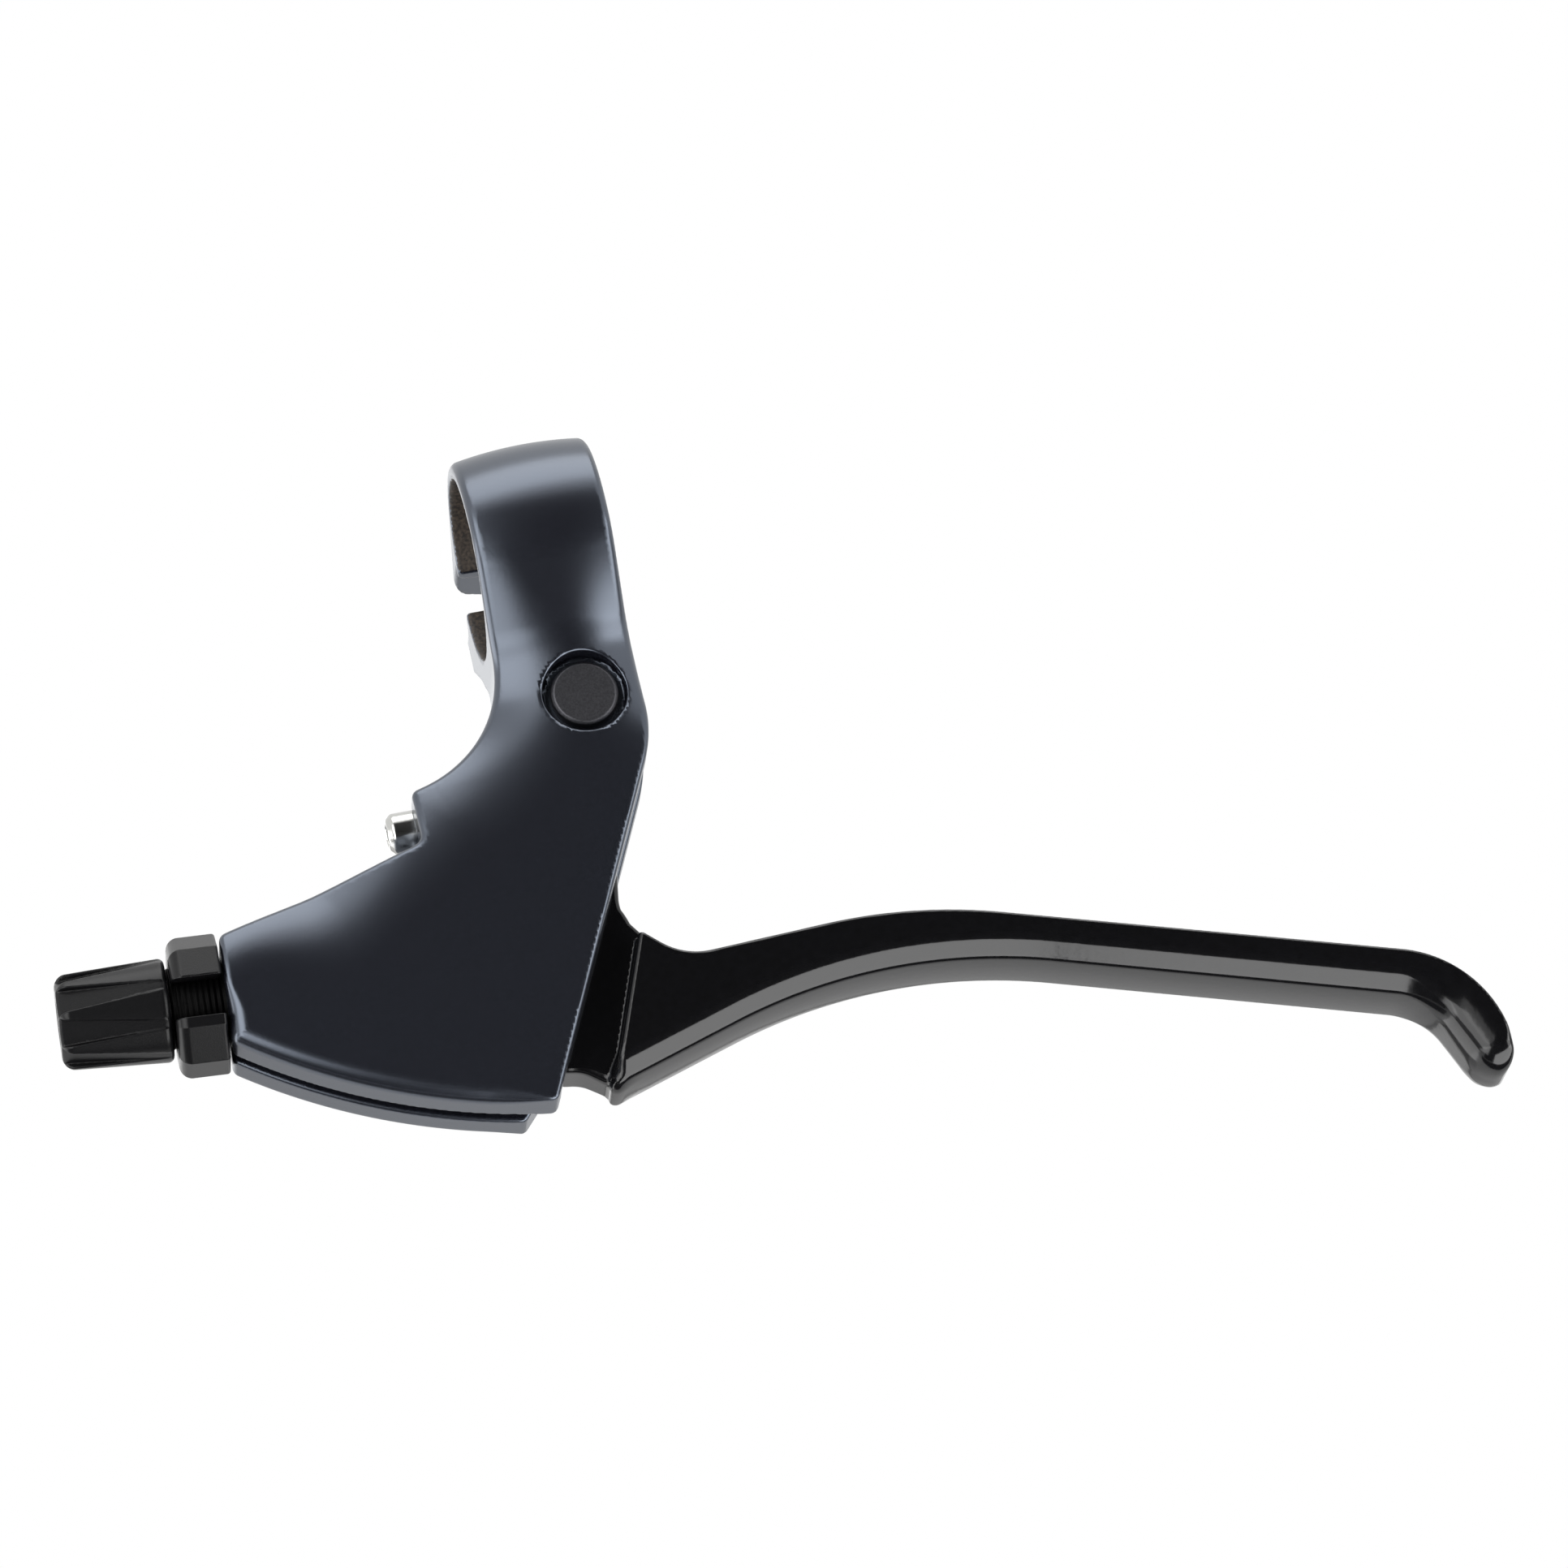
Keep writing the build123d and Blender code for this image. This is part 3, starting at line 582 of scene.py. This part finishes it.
# Roundings of the edges, each with what it gains along the hook, at the tip or at the low corner
bevel_round, bevel_hook_gain = 0.7, 1.6
front_round, front_hook_gain = 0.4, 1.8
back_round, back_tip_gain, end_tip_gain = 0.5, 1.8, 2.0
root_round, root_gain = 0.8, 0.75
tongue_round, tongue_gain = 0.6, 0.7
root_fillet, fillet_gain = 0.4, 1.4
hook_run = (90.5, 97.0)
tip_run = (-tip_z - 5.5, -tip_z - 1.0)
low_corner_run = (root_front[1] + 1.5, root_front[1] + 5.0)


def blade_field(x, y, z):
    hook = ease(x, *hook_run)
    at_tip = ease(-z, *tip_run)
    low_corner = 1 - ease(z, *low_corner_run)
    front = front_line(x, z)
    side = blade_end_view(y, z)
    bevel = (front + front_bevel) * sin(bevel_angle) + side * cos(bevel_angle)
    crowned = front + y**2 / (2 * front_crown) * (1 - hook)
    sides = meet(side, bevel, bevel_round + bevel_hook_gain * hook)
    blade = meet(crowned, sides, front_round + front_hook_gain * hook)
    back = meet(back_view(x, z), side, back_round + back_tip_gain * at_tip)
    blade = meet(blade, back, end_tip_gain * at_tip)
    from_root = (x - root_back[0]) * cos(root_lean) - (z - root_back[1]) * sin(root_lean)
    blade = meet(blade, -from_root, root_round + root_gain * low_corner)
    from_pivot = np.hypot(x - pivot_x, z - pivot_z)
    from_nipple = np.hypot(x - nipple_x, z - nipple_z)
    lobes = np.minimum(from_pivot - knuckle_radius, from_nipple - lobe_radius)
    tongue = np.minimum(tongue_view(x, z), lobes)
    tongue = meet(tongue, np.abs(y) - half_tongue, tongue_round + tongue_gain * low_corner)
    body = join(blade, tongue, root_fillet + fillet_gain * low_corner)
    body = cut(body, from_pivot - bush_outer, drilled_edge)
    body = cut(body, np.maximum(from_nipple - nipple_radius, nipple_floor - y), drilled_edge)
    over_nipple = z - nipple_z
    slot = x - nipple_x - slot_lean * np.minimum(over_nipple, 0)
    slot = np.maximum(np.maximum(slot, over_nipple - half_slot), np.abs(y) - half_slot)
    return cut(body, slot, slot_edge)


blade = skin("lever_forging", blade_field, blade_low, blade_high, pitch=0.32)
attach(blade, "lever_body")
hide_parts("lever_blade")

# Gloss black paint: a thick sprayed and stoved coat, deep black with mirror-like highlights, whose
# edges waver with the paint's orange peel, here at its real size
gloss, tree, place = new_finish("gloss_black_paint")
wave_mm, wave_height_mm = 0.9, 0.03
waves = add(tree, "ShaderNodeTexNoise", {"Vector": place, "Scale": 1000 / wave_mm, "Detail": 1.0})
relief = add(
    tree,
    "ShaderNodeBump",
    {"Height": waves.outputs["Fac"], "Strength": 0.25, "Distance": wave_height_mm / 1000},
)
tint = add(tree, "ShaderNodeValToRGB", {"Fac": waves.outputs["Fac"]})
for stop, shade in zip(tint.color_ramp.elements, ("#0a0a0b", "#111113")):
    stop.color = linear(shade)
surface = add(
    tree,
    "ShaderNodeBsdfPrincipled",
    {"Base Color": tint.outputs["Color"], "Roughness": 0.12, "Normal": relief.outputs["Normal"]},
)
add(tree, "ShaderNodeOutputMaterial", {"Surface": surface.outputs["BSDF"]})
blade.data.materials.append(gloss)

# Cable adjuster: a moulded black plastic barrel with eight long grip flutes, on a threaded stem
# that screws into the bracket's nose. The cable's housing ends in the hole of its outer end.
stem_radius, stem_start = 4.95, -13.1
thread_pitch, thread_depth = 0.7, 0.3
head_start, head_end, stem_in_head = 6.7, 19.9, 1
head_inner, head_outer = 6.25, 5.65
head_edge, head_edge_gain = 0.8, 0.7
flute_count, flute_angle = 8, radians(11)
flute_depth, flute_half, flute_start_share = 1.15, 1.7, 0.25
flute_corner, flute_edge = 0.1, 0.25
cable_hole = 1.2
housing_radius = mounts["cable_housing_seat"]["dims"]["r_mm"]
housing_depth = mounts["cable_housing_seat"]["dims"]["length_mm"]
# The flanks of a thread are steep, so its field is brought nearer to true distances
flank_scale = 0.75


def around_cable(x, y, z):
    """Places along the cable's line outwards, away from it, and around it from the far side."""
    out, over = along_cable(x, z)
    return out, np.hypot(y, over), np.arctan2(-over, y)


def groove(along, angle, pitch, depth):
    """Depth of a screw thread's groove at places along and around the thread."""
    return depth * 2 * np.abs((along / pitch - angle / (2 * pi)) % 1 - 0.5)


def barrel_field(x, y, z):
    out, reach, angle = around_cable(x, y, z)
    thread = (reach - stem_radius + groove(out, angle, thread_pitch, thread_depth)) * flank_scale
    stem = np.maximum(np.maximum(thread, stem_start - out), out - head_start - stem_in_head)
    share = np.clip((out - head_start) / (head_end - head_start), 0, 1)
    cone = head_inner + (head_outer - head_inner) * share
    ends = np.maximum(head_start - out, out - head_end)
    head = meet(reach - cone, ends, head_edge + head_edge_gain * share)
    sector = 2 * pi / flute_count
    turn = (angle - flute_angle + sector / 2) % sector - sector / 2
    floor = cone - flute_depth * share
    width = flute_half * (flute_start_share + (1 - flute_start_share) * share)
    wall = np.abs(reach * np.sin(turn)) - width
    head = cut(head, meet(wall, floor - reach * np.cos(turn), flute_corner), flute_edge)
    housing_hole = np.maximum(reach - housing_radius, head_end - housing_depth - out)
    body = cut(np.minimum(stem, head), housing_hole, drilled_edge)
    return np.maximum(body, cable_hole - reach)


barrel_low, barrel_high = solid_box("barrel_adjuster")
barrel = skin("adjuster_barrel", barrel_field, barrel_low, barrel_high, pitch=0.16)
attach(barrel, "adjuster_body")
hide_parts("barrel_adjuster")

# Black moulded plastic: dull and finely grained by the mould, so its edges show as thin pale
# lines. The real grain is some 0.05 mm wide, and is drawn coarser here so that it shows.
plastic, tree, place = new_finish("grained_black_plastic")
grain_mm, grain_height_mm = 0.14, 0.05
grain = add(tree, "ShaderNodeTexNoise", {"Vector": place, "Scale": 1000 / grain_mm, "Detail": 2.0})
relief = add(
    tree,
    "ShaderNodeBump",
    {"Height": grain.outputs["Fac"], "Strength": 0.25, "Distance": grain_height_mm / 1000},
)
tint = add(tree, "ShaderNodeValToRGB", {"Fac": grain.outputs["Fac"]})
for stop, shade in zip(tint.color_ramp.elements, ("#060607", "#121214")):
    stop.color = linear(shade)
surface = add(
    tree,
    "ShaderNodeBsdfPrincipled",
    {
        "Base Color": tint.outputs["Color"],
        "Roughness": 0.3,
        "Specular IOR Level": 0.3,
        "Normal": relief.outputs["Normal"],
    },
)
add(tree, "ShaderNodeOutputMaterial", {"Surface": surface.outputs["BSDF"]})
barrel.data.materials.append(plastic)

# Thread of the stem: the same moulding, coloured near black and almost without shine as painted
# shade, for the shadow deep in the lock ring's slit. The painted shade varies in patches of 0.5
# mm.
thread_shade_finish, tree, place = new_finish("thread_painted_shade_plastic")
shade_patch_mm = 0.5
shade_patches = add(
    tree, "ShaderNodeTexNoise", {"Vector": place, "Scale": 1000 / shade_patch_mm, "Detail": 2.0}
)
tint = add(tree, "ShaderNodeValToRGB", {"Fac": shade_patches.outputs["Fac"]})
for stop, shade in zip(tint.color_ramp.elements, ("#020202", "#080808")):
    stop.color = linear(shade)
surface = add(
    tree,
    "ShaderNodeBsdfPrincipled",
    {"Base Color": tint.outputs["Color"], "Roughness": 0.5, "Specular IOR Level": 0.08},
)
add(tree, "ShaderNodeOutputMaterial", {"Surface": surface.outputs["BSDF"]})
barrel.data.materials.append(thread_shade_finish)
# The faces of the stem's thread, short of the head, take the painted shade
painted_shade_end = head_start - 0.1
for face in barrel.data.polygons:
    out, reach, angle = around_cable(*millimetres(face.center))
    if out < painted_shade_end and reach > stem_radius - 2 * thread_depth:
        face.material_index = 1

# Lock ring: a ten-sided nut on the adjuster's stem, moulded in the same black plastic and slit on
# one side so that the cable can pass. Turned against the nose, it keeps the adjuster as set.
ring_start, ring_end = 0.3, 6.3
ring_sides, ring_corner = 10, 8.4
ring_flat = ring_corner * cos(pi / ring_sides)
ring_chamfer, ring_round = 0.9, 0.4
slit_half, slit_angle, slit_edge = 2.35, pi - radians(10), 0.2


def flat_sided(reach, angle, sides, flat):
    """Field of a nut or key hole with flat sides, each a given distance from the middle."""
    sector = 2 * pi / sides
    return reach * np.cos(angle % sector - sector / 2) - flat


def ring_field(x, y, z):
    out, reach, angle = around_cable(x, y, z)
    flat = flat_sided(reach, angle, ring_sides, ring_flat)
    ring = meet(flat, np.maximum(ring_start - out, out - ring_end), ring_round)
    ring = meet(ring, (flat + out - ring_end + ring_chamfer) / sqrt(2), ring_round)
    from_slit = angle - slit_angle
    slit = np.maximum(np.abs(reach * np.sin(from_slit)) - slit_half, -reach * np.cos(from_slit))
    return cut(cut(ring, slit, slit_edge), reach - stem_bore, slit_edge)


ring_low, ring_high = solid_box("lock_ring")
ring = skin("adjuster_lock_ring", ring_field, ring_low, ring_high, pitch=0.16)
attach(ring, "lock_ring_body")
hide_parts("lock_ring")
ring.data.materials.append(plastic)

# Pivot axle: a turned and blackened steel pin with a flat cap on the near side, held by a clip in
# its groove on the far side. The lever's two plastic bushes turn on it.
cap_radius, cap_bevel, cap_edge = 4.1, 0.4, 0.1
cap_start, cap_end, shaft_in_cap = -7.7, -recess_floor, 0.5
axle_end, axle_edge = 7.9, 0.4
groove_radius, groove_start, groove_end = 2.5, recess_floor, 6.8


def axle_field(x, y, z):
    reach = np.hypot(x - pivot_x, z - pivot_z)
    cap = np.maximum(reach - cap_radius, np.maximum(cap_start - y, y - cap_end))
    cap = meet(cap, (reach - cap_radius + cap_start - y + cap_bevel) / sqrt(2), cap_edge)
    shaft_ends = np.maximum(cap_start + shaft_in_cap - y, y - axle_end)
    shaft = meet(reach - axle_radius, shaft_ends, axle_edge)
    clip_groove = np.maximum(groove_radius - reach, np.maximum(groove_start - y, y - groove_end))
    return np.minimum(cap, np.maximum(shaft, -clip_groove))


axle_low, axle_high = solid_box("pivot_axle")
axle = skin("axle_pin", axle_field, axle_low, axle_high, pitch=0.14)
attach(axle, "bracket_body")
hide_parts("pivot_axle")

# Black oxide on steel: a thin dark coat grown in a bath, whose crystals catch small lights. Real
# crystals are some 0.01 mm wide, and are drawn coarser here so that they show.
oxide, tree, place = new_finish("black_oxide_steel")
crystal_mm, crystal_height_mm = 0.2, 0.04
crystals = add(
    tree, "ShaderNodeTexNoise", {"Vector": place, "Scale": 1000 / crystal_mm, "Detail": 3.0}
)
relief = add(
    tree,
    "ShaderNodeBump",
    {"Height": crystals.outputs["Fac"], "Strength": 0.4, "Distance": crystal_height_mm / 1000},
)
tint = add(tree, "ShaderNodeValToRGB", {"Fac": crystals.outputs["Fac"]})
for stop, shade in zip(tint.color_ramp.elements, ("#38383b", "#5e5e62")):
    stop.color = linear(shade)
surface = add(
    tree,
    "ShaderNodeBsdfPrincipled",
    {
        "Base Color": tint.outputs["Color"],
        "Metallic": 1.0,
        "Roughness": 0.45,
        "Normal": relief.outputs["Normal"],
    },
)
add(tree, "ShaderNodeOutputMaterial", {"Surface": surface.outputs["BSDF"]})
axle.data.materials.append(oxide)

# Axle clip: a clip stamped from blackened spring steel, pushed sideways into the axle's groove
# against the far side's recess. Three prongs grip the groove and its open side faces down.
clip_outer, clip_relief, clip_open = 5.2, 3.7, 2.0
relief_angle, relief_half, relief_corner = radians(42), 1.5, 0.2
opening_corner, clip_edge = 0.5, 0.12


def clip_field(x, y, z):
    right, above = x - pivot_x, z - pivot_z
    reach = np.hypot(right, above)
    plan = np.maximum(reach - clip_outer, groove_radius - reach)
    for way in (1, -1):
        across = way * right * sin(relief_angle) - above * cos(relief_angle)
        ahead = way * right * cos(relief_angle) + above * sin(relief_angle)
        notch = np.maximum(np.abs(across) - relief_half, reach - clip_relief)
        plan = cut(plan, np.maximum(notch, -ahead), relief_corner)
    plan = cut(plan, np.maximum(np.abs(right) - clip_open, above), opening_corner)
    return meet(plan, np.maximum(groove_start - y, y - groove_end), clip_edge)


clip_low, clip_high = solid_box("axle_clip")
clip = skin("axle_spring_clip", clip_field, clip_low, clip_high, pitch=0.12)
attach(clip, "bracket_body")
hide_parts("axle_clip")
clip.data.materials.append(oxide)

# Pivot bushes: two flanged sleeves moulded in bearing plastic, pressed into the lever from its
# sides. They turn on the axle and their flanges keep the lever clear of the bracket's walls.
bush_start, flange_start, bush_end = 0.2, 3.2, 3.8
flange_radius, bush_edge = 5.25, 0.15

# Bearing plastic: dark gray, smooth and slightly waxy, with faint flow marks from the mould at
# their real size
bearing, tree, place = new_finish("bearing_plastic")
flow_mm = 1.2
flow = add(tree, "ShaderNodeTexNoise", {"Vector": place, "Scale": 1000 / flow_mm, "Detail": 2.0})
tint = add(tree, "ShaderNodeValToRGB", {"Fac": flow.outputs["Fac"]})
for stop, shade in zip(tint.color_ramp.elements, ("#323232", "#404040")):
    stop.color = linear(shade)
surface = add(
    tree, "ShaderNodeBsdfPrincipled", {"Base Color": tint.outputs["Color"], "Roughness": 0.4}
)
add(tree, "ShaderNodeOutputMaterial", {"Surface": surface.outputs["BSDF"]})

for name, node, way in (
    ("bush_sleeve_near", "pivot_bush_near", -1),
    ("bush_sleeve_far", "pivot_bush_far", 1),
):

    def bush_field(x, y, z):
        reach = np.hypot(x - pivot_x, z - pivot_z)
        past_end = way * y - bush_end
        sleeve = np.maximum(reach - bush_outer, np.maximum(bush_start - way * y, past_end))
        rim = np.maximum(flange_start - way * y, past_end)
        flange = meet(reach - flange_radius, rim, bush_edge)
        return cut(np.minimum(sleeve, flange), reach - axle_radius - axle_gap, bush_edge)

    bush_low, bush_high = solid_box(node)
    bush = skin(name, bush_field, bush_low, bush_high, pitch=0.14)
    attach(bush, "lever_body")
    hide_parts(node)
    bush.data.materials.append(bearing)

# Reach screw: a zinc-plated steel grub screw through the boss, whose tip stops the lever's tongue.
# Turning it with a hex key in its outer end brings the lever nearer to the bar.
screw_low, screw_high = solid_box("reach_screw")
screw_start, screw_end = screw_low[0], screw_high[0]
screw_radius, screw_chamfer, screw_edge = 2.5, 0.7, 0.15
screw_thread, screw_groove = 0.8, 0.35
plain_end = screw_start + 4.4
thread_run_in = 1
key_sides, key_flat, key_depth, key_edge = 6, 1.25, 2.4, 0.1


def screw_field(x, y, z):
    reach, angle = np.hypot(y, z - screw_z), np.arctan2(z - screw_z, y)
    thread = groove(x, angle, screw_thread, screw_groove)
    thread = thread * ease(x, plain_end, plain_end + thread_run_in)
    ends = (screw_start - x, x - screw_end)
    body = np.maximum((reach - screw_radius + thread) * flank_scale, np.maximum(*ends))
    for end in ends:
        body = meet(body, (reach - screw_radius + end + screw_chamfer) / sqrt(2), screw_edge)
    key = flat_sided(reach, angle, key_sides, key_flat)
    return cut(body, np.maximum(key, x - screw_start - key_depth), key_edge)


screw = skin("reach_grub_screw", screw_field, screw_low, screw_high, pitch=0.14)
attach(screw, "reach_screw_body")
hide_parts("reach_screw")

# Zinc-plated steel: bright and near mirror-like, with the faint mottle of the plating bath. The
# real mottle is some 0.02 mm wide, and is drawn coarser here so that it shows.
zinc, tree, place = new_finish("zinc_plated_steel")
mottle_mm = 0.1
mottle = add(
    tree, "ShaderNodeTexNoise", {"Vector": place, "Scale": 1000 / mottle_mm, "Detail": 2.0}
)
tint = add(tree, "ShaderNodeValToRGB", {"Fac": mottle.outputs["Fac"]})
for stop, shade in zip(tint.color_ramp.elements, ("#b4b4b2", "#d8d8d4")):
    stop.color = linear(shade)
surface = add(
    tree,
    "ShaderNodeBsdfPrincipled",
    {"Base Color": tint.outputs["Color"], "Metallic": 1.0, "Roughness": 0.18},
)
add(tree, "ShaderNodeOutputMaterial", {"Surface": surface.outputs["BSDF"]})
screw.data.materials.append(zinc)

# Clamp bolt: a zinc-plated steel socket-head screw that goes in from below and pulls the two clamp
# ears together on the handlebar. Its head sits in the lower ear and its thread holds in the upper.
bolt_low, bolt_high = solid_box("clamp_bolt")
bolt_foot, bolt_top = bolt_low[2], bolt_high[2]
bolt_y = (bolt_low[1] + bolt_high[1]) / 2
bolt_head_radius, bolt_head_end, bolt_head_edge = bolt_high[0], 4.0, 0.5
shank_radius, shank_in_head = 2.5, 1
bolt_thread, bolt_groove, bolt_thread_start = 0.8, 0.35, upper_jaw - 2.0
bolt_chamfer, bolt_edge = 0.6, 0.1
socket_flat, socket_depth, socket_edge = 2.0, 2.6, 0.15


def bolt_field(x, y, z):
    reach, angle = np.hypot(x, y - bolt_y), np.arctan2(y - bolt_y, x)
    thread = groove(z, angle, bolt_thread, bolt_groove)
    thread = thread * ease(z, bolt_thread_start, bolt_thread_start + thread_run_in)
    shank_ends = np.maximum(bolt_foot + shank_in_head - z, z - bolt_top)
    shank = np.maximum((reach - shank_radius + thread) * flank_scale, shank_ends)
    shank = meet(shank, (reach - shank_radius + z - bolt_top + bolt_chamfer) / sqrt(2), bolt_edge)
    head_ends = np.maximum(bolt_foot - z, z - bolt_foot - bolt_head_end)
    head = meet(reach - bolt_head_radius, head_ends, bolt_head_edge)
    socket = flat_sided(reach, angle, key_sides, socket_flat)
    socket = np.maximum(socket, z - bolt_foot - socket_depth)
    return cut(np.minimum(shank, head), socket, socket_edge)


bolt = skin("clamp_socket_screw", bolt_field, bolt_low, bolt_high, pitch=0.15)
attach(bolt, "bracket_body")
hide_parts("clamp_bolt")
bolt.data.materials.append(zinc)

# Studio floor and cards: a pale matt floor well below, since the camera looks up at the part, and
# black cards that no camera sees. The one behind the camera keeps the flat near faces dark, and
# those on the floor keep the blade's front edge black beside its pale stripe.
floor_z, floor_size = -0.5, 12.0
matt = 0.9
middle = (Vector(cad_box[0]) + Vector(cad_box[1])) / 2


def matt_finish(name, shade):
    """A matt studio surface of one colour."""
    finish = bpy.data.materials.new(name)
    finish.use_nodes = True
    surface = finish.node_tree.nodes["Principled BSDF"]
    surface.inputs["Base Color"].default_value = linear(shade)
    surface.inputs["Roughness"].default_value = matt
    return finish


def set_out(thing, spot, lies_flat):
    """Puts a lamp or card at a spot seen from the part's middle: facing the part, or upwards."""
    thing.location = middle + Vector(spot)
    if lies_flat:
        thing.rotation_euler = (pi, 0, 0)
    else:
        thing.rotation_euler = Vector(spot).to_track_quat("Z", "Y").to_euler()
    thing.visible_camera = False


bpy.ops.mesh.primitive_grid_add(
    x_subdivisions=2, y_subdivisions=2, size=floor_size, location=(0, 0, floor_z)
)
floor = bpy.context.object
floor.name = "studio_floor"
floor.data.materials.append(matt_finish("matt_white_floor", "#f4f4f4"))

black_card = matt_finish("black_card", "#0a0a0a")
for name, spot, size, lies_flat in (
    ("front_card", (0.14, -1.25, 0.05), (1.1, 2.2), False),
    ("near_floor_card", (0.05, -0.85, -0.43), (0.8, 0.9), True),
    ("left_under_card", (-0.35, -0.2, -0.43), (0.5, 0.36), True),
    ("under_card", (0.1, 0.13, -0.43), (1.6, 0.2), True),
):
    bpy.ops.mesh.primitive_grid_add(x_subdivisions=2, y_subdivisions=2, size=1.0)
    card = bpy.context.object
    card.name = name
    card.scale = (*size, 1.0)
    set_out(card, spot, lies_flat)
    card.data.materials.append(black_card)

# Studio lamps: soft ones to the left, right, above and behind give the broad highlights along the
# rounded edges. Of those that lie flat below, a strong one draws the pale stripe along the blade's
# bevelled front, two carry the side lamps' light down, and a wide faint one lights its underside.
for name, spot, size, radiance, lies_flat in (
    ("left_lamp", (-0.8, -0.86, 0.1), (0.8, 1.2), 2.3, False),
    ("left_back_lamp", (-1.1, 0.3, -0.1), (0.9, 0.9), 2.2, False),
    ("right_lamp", (0.88, -0.75, -0.12), (0.5, 0.62), 3.0, False),
    ("top_lamp", (0.1, -0.36, 1.1), (1.2, 0.72), 2.1, False),
    ("back_lamp", (-0.2, 1.25, 0.46), (0.5, 0.6), 0.9, False),
    ("stripe_lamp", (0.49, -0.16, -0.4), (1.08, 0.36), 3.3, True),
    ("left_floor_lamp", (-0.8, -0.65, -0.42), (0.85, 0.8), 1.8, True),
    ("right_floor_lamp", (0.85, -0.6, -0.42), (0.7, 0.7), 2.0, True),
    ("table_lamp", (0.1, 1.65, -0.42), (3.0, 2.84), 0.38, True),
):
    light = bpy.data.lights.new(name, "AREA")
    light.shape = "RECTANGLE"
    light.size, light.size_y = size
    light.energy = radiance * pi * size[0] * size[1]
    lamp = bpy.data.objects.new(name, light)
    bpy.context.scene.collection.objects.link(lamp)
    set_out(lamp, spot, lies_flat)

# Studio room: white to the camera and in reflections, and only a dim fill as a light, so that the
# colours render about as they are written
fill, full = 0.3, 1.0
world = bpy.data.worlds.new("white_studio")
bpy.context.scene.world = world
world.use_nodes = True
tree = world.node_tree
tree.nodes.clear()
path = add(tree, "ShaderNodeLightPath", {})
seen = path.outputs["Is Camera Ray"]
for ray in ("Is Glossy Ray", "Is Transmission Ray"):
    seen = add(
        tree, "ShaderNodeMath", {0: seen, 1: path.outputs[ray]}, operation="MAXIMUM"
    ).outputs[0]
dim = add(tree, "ShaderNodeBackground", {"Color": linear("#ffffff"), "Strength": fill})
white = add(tree, "ShaderNodeBackground", {"Color": linear("#ffffff"), "Strength": full})
room = add(tree, "ShaderNodeMixShader", {0: seen, 1: dim.outputs[0], 2: white.outputs[0]})
add(tree, "ShaderNodeOutputWorld", {"Surface": room.outputs[0]})

# Camera: a long lens before and below the part, looking up at it from the left, at the
# photograph's angle. It was fitted to the rims of the clamp's bore and of the pivot.
camera = bpy.data.objects.new("camera", bpy.data.cameras.new("camera"))
bpy.context.scene.collection.objects.link(camera)
bpy.context.scene.camera = camera
camera_place = (-0.0982, -0.7814, -0.3225)
look = Vector((0.14478, 0.92847, 0.34202))
right = Vector((0.97395, -0.07275, -0.21478))
up = Vector((0.17453, -0.36420, 0.91482))
camera.data.sensor_width, camera.data.lens = 36.0, 159.65
camera.data.clip_start, camera.data.clip_end = 0.01, 50.0
turned = Matrix((right, up, -look)).transposed().to_4x4()
camera.matrix_world = Matrix.Translation(camera_place) @ turned

bpy.context.scene.view_settings.view_transform = "Standard"
